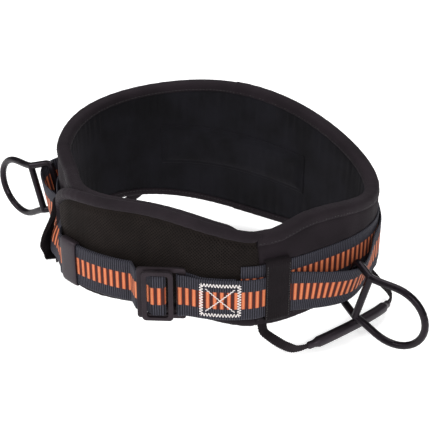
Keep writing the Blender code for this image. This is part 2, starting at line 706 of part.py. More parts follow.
def d_ring(name, place, ring_outward, ring_up, bend_side):
    """Bent ring, its origin on the attachment bar; bend_side says which way the D leans."""
    bend = math.radians(RING_BEND_DEG)
    points = []
    for out, along in ring_outline():
        past = max(out - RING_SLOT_DEPTH, 0.0)
        straight = min(out, RING_SLOT_DEPTH)
        points.append((straight + past * math.cos(bend), bend_side * past * math.sin(bend), along))
    wire = tube(name, points, RING_WIRE_RADIUS, (BLACK_STEEL, 0.3, 0.6), cyclic=True)
    bpy.context.view_layer.update()
    evaluated = wire.evaluated_get(bpy.context.evaluated_depsgraph_get())
    mesh = bpy.data.meshes.new_from_object(evaluated)
    ring = bpy.data.objects.new(name + "_mesh", mesh)
    bpy.data.objects.remove(wire)
    ring.name = name
    parts.objects.link(ring)
    bar = bpy.data.objects.new(name + "_bar", cylinder_mesh(
        name + "_bar", RING_BAR_RADIUS, 2 * RING_SLOT_HALF_HEIGHT, 12))
    up = Vector(ring_up).normalized()
    out = (Vector(ring_outward) - up * up.dot(Vector(ring_outward))).normalized()
    side = up.cross(out)
    pose = Matrix((out, side, up)).transposed().to_4x4()
    pose.translation = Vector(place) * MM
    ring.matrix_world = pose
    bar.matrix_world = pose @ Matrix.Translation((RING_SLOT_DEPTH * MM, 0.0, 0.0))
    joined(ring, bar, "UNION")


def gear_loop(side, knots):
    """Hanging webbing loop with its sleeve, both with their origin on the first anchor."""
    middle = [(Vector(knot), UP) for knot in (belt_point(*knot) for knot in knots)]
    path = [centre for centre, _ in smooth_path(middle)]
    count = len(path) - 1
    stations = []
    widths = []
    for index, centre in enumerate(path):
        along = (path[min(index + 1, count)] - path[max(index - 1, 0)]).normalized()
        face = Vector((centre.x, centre.y, 0.0)).normalized()
        stations.append((centre - path[0], face.cross(along).normalized()))
        part = index / count
        sleeved = ease(part, SLEEVE_SPAN[0] - GEAR_BAND_NARROWING, SLEEVE_SPAN[0])
        sleeved *= 1.0 - ease(part, SLEEVE_SPAN[1], SLEEVE_SPAN[1] + GEAR_BAND_NARROWING)
        widths.append(GEAR_BAND_WIDTH + (GEAR_BAND_SLEEVED_WIDTH - GEAR_BAND_WIDTH) * sleeved)
    band = ribbon(side + "_gear_loop", stations, widths, GEAR_BAND_THICKNESS, (BLACK_CLOTH, 0.9))
    rows = []
    first = round(SLEEVE_SPAN[0] * count)
    last = round(SLEEVE_SPAN[1] * count)
    for index in range(first, last + 1):
        centre, up = stations[index]
        along = (path[index + 1] - path[index - 1]).normalized()
        across = along.cross(up)
        near_end = min(index - first, last - index)
        radius = SLEEVE_RADIUS - SLEEVE_WALL / 2 - (SLEEVE_END_TAPER if near_end == 0 else 0.0)
        rows.append([centre + up * radius * math.cos(math.radians(turn))
                     + across * radius * math.sin(math.radians(turn)) for turn in range(0, 360, 30)])
    sleeve = sheet(side + "_gear_loop_sleeve", rows, SLEEVE_WALL, (PLASTIC, 0.45), closed_across=True)
    band.location = path[0] * MM
    sleeve.location = path[0] * MM


for old in list(bpy.data.objects):
    bpy.data.objects.remove(old, do_unlink=True)
parts = bpy.data.collections.new("work_positioning_belt")
cutters = bpy.data.collections.new("cutters")
bpy.context.scene.collection.children.link(parts)
bpy.context.scene.collection.children.link(cutters)

pad_core()
pad_skin("outer_cover", -COVER_THICKNESS / 2)
pad_skin("inner_lining", -PAD_THICKNESS + COVER_THICKNESS / 2)
pad_binding("top_binding", pad_top, -1)
pad_binding("bottom_binding", bottom_height, 1)
lumbar_pad()
flap_core()
flap_border()
tunnel("right_tunnel", *RIGHT_TUNNEL)
tunnel("left_tunnel", *LEFT_TUNNEL)
tunnel("rear_tunnel", *REAR_TUNNEL)
back_webbing()
right_webbing()
left_webbing()
buckle_frames()
slide_bar()
keeper()
d_ring("right_d_ring", RIGHT_RING_PLACE, RIGHT_RING_OUTWARD, RIGHT_RING_UP, 1)
d_ring("left_d_ring", LEFT_RING_PLACE, LEFT_RING_OUTWARD, LEFT_RING_UP, -1)
gear_loop("right", RIGHT_LOOP_KNOTS)
gear_loop("left", LEFT_LOOP_KNOTS)

waist_centre = bpy.data.objects.new("waist_centre", None)
for made in list(parts.objects) + list(cutters.objects):
    made.parent = waist_centre
parts.objects.link(waist_centre)
waist_centre.location = -BOX_CENTRE * MM
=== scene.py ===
"""Looks of the padded work-positioning belt: cloth, webbing, stitching, coated steel and plastic.

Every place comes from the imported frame. Lengths here are in millimetres from the waist centre
unless a name says otherwise, and turn into metres where a mesh is made. Angles run around the
waist from the front (0 degrees, -Y) through +X (90 degrees).
"""
import json
import math

import bmesh
import bpy
import numpy as np
from mathutils import Matrix, Vector
from mathutils.bvhtree import BVHTree


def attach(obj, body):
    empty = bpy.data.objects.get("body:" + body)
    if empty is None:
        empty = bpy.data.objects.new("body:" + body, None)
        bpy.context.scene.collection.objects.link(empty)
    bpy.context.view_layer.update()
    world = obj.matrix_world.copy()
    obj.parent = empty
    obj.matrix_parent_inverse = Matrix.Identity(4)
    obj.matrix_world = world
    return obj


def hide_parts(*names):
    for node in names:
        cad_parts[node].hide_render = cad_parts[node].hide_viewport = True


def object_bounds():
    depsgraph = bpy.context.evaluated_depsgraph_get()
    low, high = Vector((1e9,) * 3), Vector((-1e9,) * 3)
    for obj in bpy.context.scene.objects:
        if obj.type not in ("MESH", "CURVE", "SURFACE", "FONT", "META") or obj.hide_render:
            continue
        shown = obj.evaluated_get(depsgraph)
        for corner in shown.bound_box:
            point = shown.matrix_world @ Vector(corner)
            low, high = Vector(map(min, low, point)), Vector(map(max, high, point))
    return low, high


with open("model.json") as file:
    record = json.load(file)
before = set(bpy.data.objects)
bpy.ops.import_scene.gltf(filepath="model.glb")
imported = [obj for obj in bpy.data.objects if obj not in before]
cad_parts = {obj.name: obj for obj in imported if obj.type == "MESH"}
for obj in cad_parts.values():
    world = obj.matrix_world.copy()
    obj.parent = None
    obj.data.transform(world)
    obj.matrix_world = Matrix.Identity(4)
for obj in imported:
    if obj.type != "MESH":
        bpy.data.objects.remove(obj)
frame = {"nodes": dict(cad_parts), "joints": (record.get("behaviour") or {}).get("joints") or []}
cad_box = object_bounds()

MM = 0.001
WAIST_CENTRE = Vector((15.99, -0.44, -20.26))
UP = Vector((0.0, 0.0, 1.0))
RNG = np.random.default_rng(533)

# Reading the frame.
WELD_M = 1e-6
SHARP_DEG = 60.0
ANGLE_STEP = 0.5
PROBE_HEIGHT = 22.0
PROBE_REACH = 400.0
FACET_WINDOW = 13
SHORT_WINDOW = 9
LOOP_WINDOW = 31

# Folds are (size, shortest pitch, longest pitch, number of waves, lean of the waves).
PAD_WAVES = (0.28, 18.0, 60.0, 9, 0.5)
PAD_CREASES = (1.0, 5.0, 13.0, 14, 0.12)
TAPE_WAVES = (0.16, 4.0, 16.0, 9, 0.0)
LUMBAR_FOLDS = (0.22, 7.0, 17.0, 9, 0.3)
ROLL_WRINKLES = (0.14, 5.0, 22.0, 9, 0.0)
FLAP_FOLDS = (0.22, 26.0, 70.0, 9, 0.6)
LOOP_FUZZ = (0.08, 3.0, 9.0, 5, 0.0)

# Pad.
PAD_SPAN_DEG = (26.5, 387.0)
PAD_START_EXTRA_DEG = 3.4
PAD_STEP = 1.1
PAD_ROWS = 44
PAD_INSET = 1.6
PAD_CROWN = 1.7
INNER_CROWN = 1.1
PAD_CLOSING = 2.2
STRAP_CLEARANCE = 0.45
END_DROOP = 7.0
END_ZONE = (48.0, 6.0)
HIDDEN_END_DROOP = 4.5
HIDDEN_END_ZONE = (20.0, 2.0)

# Edge tape.
BINDING_HEIGHT = 9.5
BINDING_LIFT = 1.1
BINDING_ROUND = 6.2
BINDING_SEAM = 1.9
TAPE_THICKNESS = 0.9
TAPE_EXTRA = 1.0
TAPE_LAP = 0.55
TAPE_JOIN_DEG = 176.0

# Lumbar panel.
LUMBAR_CROWN = 4.2
LUMBAR_CROWN_REACH = 13.0
CHANNEL_DEPTH = 1.0
CHANNEL_INSET = 3.4
CHANNEL_WIDTH = 1.2

# Flap.
FLAP_SPAN_DEG = (-90.0, 40.0)
FLAP_CROWN = 2.0
FLAP_COLUMNS = 420
FLAP_ROWS = 200
FLAP_BACK_ROWS = 24
FLAP_RECESS = 4.4
FLAP_RISE = 3.6
MESH_PITCH = 3.3
MESH_DEPTH = 0.6
ROLL_RADIUS = 4.1
ROLL_SWELL = 1.3
TIP_ZONE = 40.0
TIP_REACH = 5.6
TIP_DROOP = 6.5
TIP_SWELL = 0.9
TIP_HEIGHTS = (20.0, 50.0)
SEAM_DROOP = 1.5
SEAM_ZONE = (42.0, 4.0)
BUCKLE_SAG = 6.5
BUCKLE_X = -20.0
BUCKLE_WIDTH = 15.0
BUCKLE_HEIGHTS = (-5.0, -25.0)

# Tunnels.
TUNNEL_HALF_WALL = 0.6
TUNNEL_DEPTHS = 7
TUNNEL_ROWS = 40
TUNNEL_RIB = 0.16
TUNNEL_RIB_PITCH = 1.75
TUNNEL_TUCK = 1.6

# Webbing.
WEB_STEP = 0.37
WEB_COLUMNS = 22
WEB_EDGE_HALF = 0.3
WEB_SELVEDGE_HALF = 0.5
BAR_PITCH = 6.6
BAR_SHARE = 0.52
BAR_HALF_ZONE = 9.2
RIBS_PER_BAR = 3

# Where straps and tunnels give way.
LEAN_DEPTH = 12.5
LEAN_START_DEG = (259.0, 270.0)
LEAN_END_DEG = (297.0, 286.0)
LEAN_HEIGHTS = (-26.0, 44.0)
BULGE = 4.0
BULGE_DEG = 281.5
BULGE_WIDTH_DEG = 4.5
BULGE_HEIGHTS = (24.0, -6.0)
CORNER_TUCK = 5.0
CORNER_HEIGHTS = (-13.0, -27.0)
SAG_DEPTH = 3.4
SAG_X = -18.0
SAG_WIDTH = 12.0
SAG_HEIGHTS = (4.0, -21.0)

# Stitches.
STITCH_LENGTH = 2.7
STITCH_GAP = 1.0
STITCH_RADIUS = 0.3
STITCH_SIDES = 6
STITCH_PROFILE = np.array([-0.5, -0.42, -0.2, 0.2, 0.42, 0.5])
STITCH_WIDTH = np.array([0.25, 0.75, 1.0, 1.0, 0.75, 0.25])
STITCH_SAG = np.array([-0.9, -0.3, 0.35, 0.35, -0.3, -0.9])

# Box stitch.
BOX_START_DEG = 5.6
BOX_WIDTH = 35.5
BOX_HEIGHT = 32.8
BOX_DROP = 0.2
BOX_LIFT = 1.25
ZIGZAG_SWING = 1.6
ZIGZAG_PITCH = 2.9
THREAD_RADIUS = 0.42

# Keeper.
KEEPER_EXTRA = 3.9
KEEPER_HALF_WALL = 0.8

# Gear loops. Settling is how far the front end goes forward, then the rear end outward and up.
LOOP_STEP = 0.4
LOOP_TUCK = 14.0
LOOP_PICK = 2.4
LOOP_SETTLING = {"right": (5.0, -9.0, 0.0), "left": (-7.0, 5.0, 4.0)}
SLEEVE_REACH = 4.4

# Studio.
FLOOR_GAP_M = 0.004
FLOOR_GLOW = 0.45
FILL_LIGHT = 0.42
MIRROR_CUT = 0.28
CAMERA_AZIMUTH_DEG = 8.94
CAMERA_ELEVATION_DEG = 30.79
CAMERA_DISTANCE_M = 1.2056
CAMERA_LENS_MM = 98.38
CAMERA_SHIFT = (0.0129, 0.0290)
SENSOR_WIDTH_MM = 36.0


# ---------------------------------------------------------------- numbers and lines

def unit(vectors):
    """Vectors at length one."""
    return vectors / np.linalg.norm(vectors, axis=-1, keepdims=True)


def travelled(points):
    """Distance along a line of points, from the first to each."""
    return np.concatenate([[0.0], np.cumsum(np.linalg.norm(np.diff(points, axis=0), axis=1))])


def from_ends(distance):
    """Distance to the nearer end of a line."""
    return np.minimum(distance - distance[0], distance[-1] - distance)


def read_rows(spots, places, rows):
    """Rows of values known at places, read at spots."""
    return np.stack([np.interp(spots, places, column) for column in rows.T], axis=-1)


def smoothed(values, window=FACET_WINDOW):
    """Running mean that removes the CAD's facets and keeps both ends."""
    kernel = np.hanning(window + 2)[1:-1]
    kernel /= kernel.sum()
    padded = np.pad(values, window // 2, mode="reflect", reflect_type="odd")
    return np.convolve(padded, kernel, mode="valid")


def refined(values, count):
    """Catmull-Rom curve through rows of values, at evenly spaced places."""
    place = np.linspace(0.0, len(values) - 1.0, count)
    first = np.minimum(place.astype(int), len(values) - 2)
    part = (place - first)[:, None]
    near = [values[np.clip(first + shift, 0, len(values) - 1)] for shift in (-1, 0, 1, 2)]
    slope_a = (near[2] - near[0]) / 2
    slope_b = (near[3] - near[1]) / 2
    square = part ** 2
    cube = part ** 3
    return (near[1] * (2 * cube - 3 * square + 1) + slope_a * (cube - 2 * square + part)
            + near[2] * (3 * square - 2 * cube) + slope_b * (cube - square))


def evenly(values, step):
    """The same rows, resampled an even distance apart; the first three columns are the place."""
    fine = refined(values, len(values) * 12)
    length = travelled(fine[:, :3])
    spots = np.linspace(0.0, length[-1], max(2, round(length[-1] / step)) + 1)
    return read_rows(spots, length, fine), spots


def ease(values, start, end):
    """0 before start, 1 after end, smooth between; works on arrays and either way round."""
    part = np.clip((values - start) / (end - start), 0.0, 1.0)
    return part * part * (3.0 - 2.0 * part)


def hump(values, middle, width):
    """1 at the middle, falling smoothly to nothing about two widths away."""
    return np.exp(-((values - middle) / width) ** 2)


def squarer(values, power):
    """A sine or cosine pushed towards its ends by a power under one."""
    return np.sign(values) * np.abs(values) ** power


def ripple(distance, height, folds):
    """Irregular folds that run across a band: a sum of waves with drifting phase."""
    size, low_pitch, high_pitch, count, lean = folds
    total = np.zeros(np.broadcast(distance, height).shape)
    for _ in range(count):
        pitch = RNG.uniform(low_pitch, high_pitch)
        phase = RNG.uniform(0.0, 2 * math.pi)
        drift = RNG.uniform(-1.0, 1.0) * lean
        total = total + np.sin(2 * math.pi * (distance + drift * height) / pitch + phase)
    return total * size / math.sqrt(count * 2.0)


def blurred(grid, passes):
    """Small even blur over both directions of a grid of numbers."""
    for _ in range(passes):
        wide = np.pad(grid, 1, mode="edge")
        grid = (wide[:-2, 1:-1] + wide[2:, 1:-1] + wide[1:-1, :-2] + wide[1:-1, 2:]
                + 4 * wide[1:-1, 1:-1]) / 8
    return grid


def heading(angle):
    turn = math.radians(angle)
    return Vector((math.sin(turn), -math.cos(turn), 0.0))


def compass(points):
    """At each point: its angle round the waist in radians, and the forward and outward directions."""
    turn = np.arctan2(points[..., 0], -points[..., 1])
    sine, cosine, level = np.sin(turn), np.cos(turn), np.zeros_like(turn)
    return turn, np.stack([cosine, sine, level], axis=-1), np.stack([sine, -cosine, level], axis=-1)


# ---------------------------------------------------------------- reading the frame

def tree_of(*nodes):
    """Search tree over the named CAD nodes, in millimetres."""
    points = []
    faces = []
    for node in nodes:
        mesh = frame["nodes"][node].data
        base = len(points)
        points += [vertex.co / MM - WAIST_CENTRE for vertex in mesh.vertices]
        faces += [tuple(base + index for index in polygon.vertices) for polygon in mesh.polygons]
    return BVHTree.FromPolygons(points, faces)


def span_up(tree, middle):
    """Lowest and highest hits on a tree above and below a point, or None."""
    top = tree.ray_cast(middle + UP * PROBE_REACH, -UP)[0]
    bottom = tree.ray_cast(middle - UP * PROBE_REACH, UP)[0]
    return (bottom.z, top.z) if top is not None and bottom is not None else None


class Wall:
    """A standing band of the belt: outer face, thickness, foot and crest at each angle."""

    def __init__(self, inner, outer, edges, start, end):
        middle_of_belt = UP * PROBE_HEIGHT
        rows = []
        for angle in np.arange(start, end, ANGLE_STEP):
            out = heading(angle)
            inside = inner.ray_cast(middle_of_belt, out)[0]
            outside = outer.ray_cast(middle_of_belt + out * PROBE_REACH, -out, PROBE_REACH)[0]
            if inside is None or outside is None:
                continue
            span = span_up(edges, (inside + outside) / 2)
            if span:
                rows.append((angle, inside.to_2d().length, outside.to_2d().length, *span))
        table = np.array(rows).T
        self.angle = table[0]
        inside, outside, self.foot, self.crest = (smoothed(row) for row in table[1:])
        turn = np.radians(self.angle)
        out = np.stack([np.sin(turn), -np.cos(turn)], axis=1)
        self.face = outside[:, None] * out
        tangent = unit(np.gradient(self.face, axis=0))
        self.normal = np.stack([tangent[:, 1], -tangent[:, 0]], axis=1)
        self.thickness = (outside - inside) * (self.normal * out).sum(axis=1)
        self.length = travelled(self.face)

    def lengthen_start(self, degrees):
        """Carries the wall on past its first angle, along the same line."""
        turns = degrees / (self.angle[1] - self.angle[0])
        self.angle, self.foot, self.crest, self.length, self.face = (
            np.concatenate([row[:1] - (row[1:2] - row[:1]) * turns, row])
            for row in (self.angle, self.foot, self.crest, self.length, self.face))
        self.thickness, self.normal = (
            np.concatenate([row[:1], row]) for row in (self.thickness, self.normal))
        self.length = self.length - self.length[0]

    def read(self, values, angles):
        return np.interp(angles, self.angle, values)

    def place(self, angles, offsets, heights):
        """Points an offset outside the outer face, at a height; all three arrays broadcast."""
        angles, offsets, heights = np.broadcast_arrays(angles, offsets, heights)
        level = (read_rows(angles, self.angle, self.face)
                 + read_rows(angles, self.angle, self.normal) * offsets[..., None])
        return np.concatenate([level, heights[..., None]], axis=-1)

    def out(self, angles):
        """Outward direction at each angle."""
        level = read_rows(angles, self.angle, self.normal)
        return np.concatenate([level, np.zeros_like(level[..., :1])], axis=-1)

    def angles_along(self, step):
        """Angles an even distance apart along the outer face, from one end to the other."""
        count = max(2, round(self.length[-1] / step))
        return np.interp(np.linspace(0.0, self.length[-1], count + 1), self.length, self.angle)


def rings(node):
    """Cross-sections of a swept CAD solid, from one flat end to the other, as lists of points."""
    work = bmesh.new()
    work.from_mesh(frame["nodes"][node].data)
    bmesh.ops.remove_doubles(work, verts=work.verts, dist=WELD_M)
    sharp = {}
    for edge in work.edges:
        if edge.calc_face_angle() > math.radians(SHARP_DEG):
            for vertex in edge.verts:
                sharp.setdefault(vertex, []).append(edge)
    most = max(len(edges) for edges in sharp.values())
    corners = {vertex for vertex, edges in sharp.items() if len(edges) == most}
    start = min(corners, key=lambda vertex: vertex.co.x)
    ring = {start}
    frontier = [start]
    while frontier:
        vertex = frontier.pop()
        for edge in sharp[vertex]:
            other = edge.other_vert(vertex)
            if other in corners and other not in ring:
                ring.add(other)
                frontier.append(other)
    found = []
    seen = set()
    while ring:
        found.append([vertex.co / MM - WAIST_CENTRE for vertex in ring])
        seen |= ring
        ring = {edge.other_vert(vertex) for vertex in ring for edge in vertex.link_edges} - seen
    work.free()
    return found


def strap_line(node, step):
    """Centre, up direction and width of a flat strap, evenly along it, and the distance along."""
    rows = []
    for ring in rings(node):
        ring.sort(key=lambda point: point.z)
        low = (ring[0] + ring[1]) / 2
        high = (ring[2] + ring[3]) / 2
        across = high - low
        rows.append((*((low + high) / 2), *across.normalized(), across.length))
    table, along = evenly(np.array(rows), step)
    return table[:, :3], unit(table[:, 3:6]), table[:, 6], along


def ray_room(tree, points, directions, limit):
    """Free distance in front of each point, at most the limit."""
    shape = points.shape[:-1]
    room = np.full(shape, limit)
    for index in np.ndindex(*shape):
        hit = tree.ray_cast(Vector(points[index]), Vector(directions[index]), limit)
        if hit[0] is not None:
            room[index] = hit[3]
    return room


# ---------------------------------------------------------------- meshes

def new_piece(name, mesh, look, body, slot, *nodes):
    """A finished object that rides on a body and stands for CAD nodes."""
    mesh.transform(Matrix.Translation(WAIST_CENTRE * MM))
    piece = bpy.data.objects.new(name, mesh)
    bpy.context.scene.collection.objects.link(piece)
    piece.data.materials.append(look)
    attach(piece, body)
    if nodes:
        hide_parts(*nodes)
    return piece


def closed_mesh(name, points, faces):
    """Smooth mesh from points in millimetres, with its faces turned outward."""
    mesh = bpy.data.meshes.new(name)
    mesh.from_pydata((np.asarray(points).reshape(-1, 3) * MM).tolist(), [], faces)
    work = bmesh.new()
    work.from_mesh(mesh)
    bmesh.ops.recalc_face_normals(work, faces=work.faces)
    work.to_mesh(mesh)
    work.free()
    mesh.shade_smooth()
    return mesh


def grid_mesh(name, points, ring=False, **attributes):
    """Mesh over a grid of points (row, column, xyz) whose rows close on themselves.

    A ring also joins its last row to its first; anything else gets a cap at both ends.
    """
    rows, columns = points.shape[:2]
    index = np.arange(rows * columns).reshape(rows, columns)
    index = np.concatenate([index, index[:, :1]], axis=1)
    if ring:
        index = np.concatenate([index, index[:1]], axis=0)
    quads = np.stack([index[:-1, :-1], index[:-1, 1:], index[1:, 1:], index[1:, :-1]], axis=-1)
    faces = quads.reshape(-1, 4).tolist()
    if not ring:
        faces += [index[0, :-1].tolist(), index[-1, :-1].tolist()]
    mesh = closed_mesh(name, points, faces)
    for label, values in attributes.items():
        spread = np.broadcast_to(values, (rows, columns)).astype(np.float32).ravel()
        mesh.attributes.new(label, "FLOAT", "POINT").data.foreach_set("value", spread)
    return mesh


def loop_round(path, thickness):
    """Closed outline of a wall of even thickness about an open 2D path, with round ends."""
    path = np.array(path, dtype=float)
    tangent = unit(np.gradient(path, axis=0))
    side = np.stack([tangent[:, 1], -tangent[:, 0]], axis=1) * thickness / 2
    end = path[-1] + tangent[-1] * thickness * 0.35
    start = path[0] - tangent[0] * thickness * 0.35
    return np.concatenate([path + side, [end], (path - side)[::-1], [start]])


def circle(sides):
    return np.linspace(0.0, 2 * math.pi, sides, endpoint=False)


def swept(centre, up, normal, wide, deep):
    """Points round a line: at each place, wide steps along up and deep steps along normal."""
    return centre[:, None] + up[:, None] * wide[:, :, None] + normal[:, None] * deep[:, :, None]


def tube_mesh(name, centres, radii, sides):
    """Round tube along centres, with a radius for each."""
    tangent = unit(np.gradient(centres, axis=0))
    across = np.cross(tangent, np.array(UP))
    steep = np.linalg.norm(across, axis=1) < 0.2
    across[steep] = np.cross(tangent[steep], (0.0, 1.0, 0.0))
    for index in range(1, len(across)):
        if across[index] @ across[index - 1] < 0.0:
            across[index] *= -1.0
    across = unit(across)
    turn = circle(sides)
    points = swept(centres, across, np.cross(across, tangent), radii[:, None] * np.cos(turn),
                   radii[:, None] * np.sin(turn))
    return grid_mesh(name, points, along=travelled(centres)[:, None], across=turn * np.mean(radii))


def stitch_mesh(name, runs, length=STITCH_LENGTH, gap=STITCH_GAP):
    """Rows of raised stitches. A run is (points, outward directions) along one seam."""
    turn = circle(STITCH_SIDES)
    rows = len(STITCH_PROFILE)
    points = []
    faces = []
    for line, outward in runs:
        along = travelled(line)
        for start in np.arange(gap, along[-1] - length, length + gap):
            centre = read_rows(start + length * (STITCH_PROFILE + 0.5), along, line)
            out = unit(read_rows(start + length / 2, along, outward))
            centre += out * (STITCH_SAG * STITCH_RADIUS)[:, None]
            side = np.cross(unit(centre[-1] - centre[0]), out)
            ring = np.cos(turn)[:, None] * side + np.sin(turn)[:, None] * out
            stitch = centre[:, None] + ring * (STITCH_WIDTH * STITCH_RADIUS)[:, None, None]
            index = len(points) + np.arange(rows * STITCH_SIDES).reshape(rows, STITCH_SIDES)
            beside = np.roll(index, -1, axis=1)
            quads = np.stack([index[:-1], beside[:-1], beside[1:], index[1:]], axis=-1)
            points += stitch.reshape(-1, 3).tolist()
            faces += [*quads.reshape(-1, 4).tolist(), index[0, ::-1].tolist(), index[-1].tolist()]
    return closed_mesh(name, points, faces)


def sewn(name, runs, slot, **spacing):
    """Dark stitches that ride on the belt."""
    new_piece(name, stitch_mesh(name, runs, **spacing), DARK_THREAD, "belt", slot)


# ---------------------------------------------------------------- materials

WARM_GLINT = (1.0, 0.84, 0.98)


class Number:
    """A number inside a material, so that a pattern can be written as arithmetic."""

    def __init__(self, tree, output):
        self.tree = tree
        self.output = output

    def math(self, operation, *others):
        node = self.tree.nodes.new("ShaderNodeMath")
        node.operation = operation
        for socket, value in zip(node.inputs, (self, *others)):
            feed(self.tree, socket, value)
        return Number(self.tree, node.outputs[0])

    def __add__(self, other):
        return self.math("ADD", other)

    def __sub__(self, other):
        return self.math("SUBTRACT", other)

    def __mul__(self, other):
        return self.math("MULTIPLY", other)

    def wave(self, pitch):
        """0 to 1 and back within each pitch, highest at whole multiples of it."""
        return (self * (2 * math.pi / pitch)).math("COSINE") * 0.5 + 0.5

    def ramp(self, start, end):
        """0 at start, 1 at end, smooth between."""
        node = self.tree.nodes.new("ShaderNodeMapRange")
        node.interpolation_type = "SMOOTHSTEP"
        node.inputs["From Min"].default_value = start
        node.inputs["From Max"].default_value = end
        self.tree.links.new(self.output, node.inputs["Value"])
        return Number(self.tree, node.outputs["Result"])


def feed(tree, socket, value):
    """Links or sets one input of a node."""
    if isinstance(value, Number):
        tree.links.new(value.output, socket)
    elif isinstance(value, bpy.types.NodeSocket):
        tree.links.new(value, socket)
    elif isinstance(value, tuple):
        socket.default_value = (*value, 1.0)
    else:
        socket.default_value = value


def scaled(colour, factor):
    return tuple(value * factor for value in colour)


class Look:
    """One procedural material."""

    def __init__(self, name):
        self.material = bpy.data.materials.new(name)
        self.material.use_nodes = True
        self.tree = self.material.node_tree
        self.shader = self.tree.nodes["Principled BSDF"]

    def attribute(self, name):
        node = self.tree.nodes.new("ShaderNodeAttribute")
        node.attribute_name = name
        return Number(self.tree, node.outputs["Fac"])

    def noise(self, size, detail=2.0, stretch=(1.0, 1.0, 1.0)):
        """Noise whose blots are about size millimetres across."""
        place = self.tree.nodes.new("ShaderNodeTexCoord")
        scale = self.tree.nodes.new("ShaderNodeMapping")
        scale.inputs["Scale"].default_value = stretch
        node = self.tree.nodes.new("ShaderNodeTexNoise")
        node.inputs["Scale"].default_value = 1.0 / (size * MM)
        node.inputs["Detail"].default_value = detail
        self.tree.links.new(place.outputs["Object"], scale.inputs["Vector"])
        self.tree.links.new(scale.outputs["Vector"], node.inputs["Vector"])
        return Number(self.tree, node.outputs["Fac"])

    def edges(self):
        """Bright on outward corners, where a coating wears."""
        node = self.tree.nodes.new("ShaderNodeNewGeometry")
        return Number(self.tree, node.outputs["Pointiness"])

    def mix(self, factor, first, second):
        node = self.tree.nodes.new("ShaderNodeMix")
        node.data_type = "RGBA"
        feed(self.tree, node.inputs["Factor"], factor)
        feed(self.tree, node.inputs[6], first)
        feed(self.tree, node.inputs[7], second)
        return node.outputs[2]

    def set(self, **values):
        """Sets or links inputs of the shader by name."""
        for label, value in values.items():
            feed(self.tree, self.shader.inputs[label.replace("_", " ")], value)

    def bump(self, height, distance):
        """Surface relief; distance is millimetres from lowest to highest."""
        node = self.tree.nodes.new("ShaderNodeBump")
        node.inputs["Distance"].default_value = distance * MM
        feed(self.tree, node.inputs["Height"], height)
        self.tree.links.new(node.outputs["Normal"], self.shader.inputs["Normal"])


def cloth_look(name, dark, light, weave, roughness=0.85, sheen=0.06, depth=0.12):
    """Woven or knitted cloth: a two-way weave, uneven dye and a soft sheen."""
    look = Look(name)
    along = look.attribute("along")
    across = look.attribute("across")
    threads = along.wave(weave) * across.wave(weave)
    cloudy = look.noise(35.0, 4.0).ramp(0.3, 0.7)
    fuzz = look.noise(0.9, 3.0)
    shade = look.mix(cloudy, dark, light)
    look.set(Base_Color=look.mix(threads * 0.45, shade, scaled(dark, 0.55)),
             Roughness=fuzz * 0.15 + (roughness - 0.07))
    look.set(Sheen_Weight=sheen, Sheen_Roughness=0.45, Sheen_Tint=(0.5, 0.45, 0.5),
             Specular_IOR_Level=0.12)
    look.bump(threads + fuzz * 0.6, depth)
    return look.material


def webbing_look(name):
    """Ribbed dark webbing with a ladder of orange bars down its middle. Painted shade darkens the rib
    grooves and the ground between the bars, and painted light brightens the crowns of the bars.
    """
    look = Look(name)
    along = look.attribute("along")
    across = look.attribute("across").math("ABSOLUTE")
    phase = ((along * (1.0 / BAR_PITCH)).math("FRACT") - 0.5).math("ABSOLUTE")
    bar = phase.ramp(BAR_SHARE / 2 + 0.035, BAR_SHARE / 2 - 0.035)
    zone = across.ramp(BAR_HALF_ZONE + 0.5, BAR_HALF_ZONE - 0.3)
    # Painted light and shade on each bar's bulge: lighter orange over the crown, darker red towards its
    # edges.
    bar_crown_light = phase.ramp(BAR_SHARE / 2, BAR_SHARE / 8)
    rib = along.wave(BAR_PITCH / RIBS_PER_BAR)
    strands = look.attribute("across").wave(0.62)
    picks = along.wave(0.55)
    uneven = look.noise(14.0, 3.0)
    grain = look.noise(0.7)
    # Painted shade and light: the rib grooves are painted near black and the ridges lighter navy, as shade
    # and light would fall on the ribs.
    navy_with_groove_shade = look.mix(rib.ramp(0.15, 0.85), (0.0040, 0.0036, 0.0052), (0.044, 0.043, 0.058))
    navy_with_groove_shade = look.mix(grain.ramp(0.35, 0.75) * 0.5, navy_with_groove_shade, (0.013, 0.013, 0.018))
    # Painted shade: the orange ground between the raised bars is painted dark red-brown, as if shaded in
    # the recess between them; the noise only varies it.
    gap = look.mix(uneven, (0.028, 0.012, 0.012), (0.060, 0.013, 0.010))
    lit = look.mix(grain.ramp(0.2, 0.9), (0.53, 0.155, 0.062), (0.64, 0.230, 0.112))
    orange = look.mix(bar_crown_light, (0.36, 0.062, 0.022), lit)
    orange = look.mix(strands * 0.22, orange, (0.36, 0.085, 0.03))
    colour = look.mix(zone, navy_with_groove_shade, look.mix(bar, gap, orange))
    look.set(Base_Color=colour, Roughness=bar * zone * -0.14 + 0.72)
    look.set(Sheen_Weight=0.05, Sheen_Roughness=0.4, Sheen_Tint=(0.7, 0.68, 0.75),
             Specular_IOR_Level=0.15)
    look.bump(strands * 0.7 + picks * 0.3 + grain * 0.5, 0.10)
    return look.material


def coated_steel(name, colour, roughness, worn):
    """Painted or blackened steel, its coating thinned on the corners."""
    look = Look(name)
    wear = (look.edges() + look.noise(3.0, 4.0) * 0.05).ramp(0.545, 0.60)
    smudge = look.noise(11.0, 5.0).ramp(0.35, 0.7)
    paint = look.mix(smudge, colour, scaled(colour, 1.35))
    look.set(Base_Color=look.mix(wear * 0.55, paint, worn), Roughness=smudge * 0.10 + roughness,
             Metallic=wear * 0.5)
    look.set(Specular_IOR_Level=0.17, Specular_Tint=WARM_GLINT)
    look.bump(look.noise(0.55) + look.noise(4.0, 3.0) * 0.6, 0.03)
    return look.material


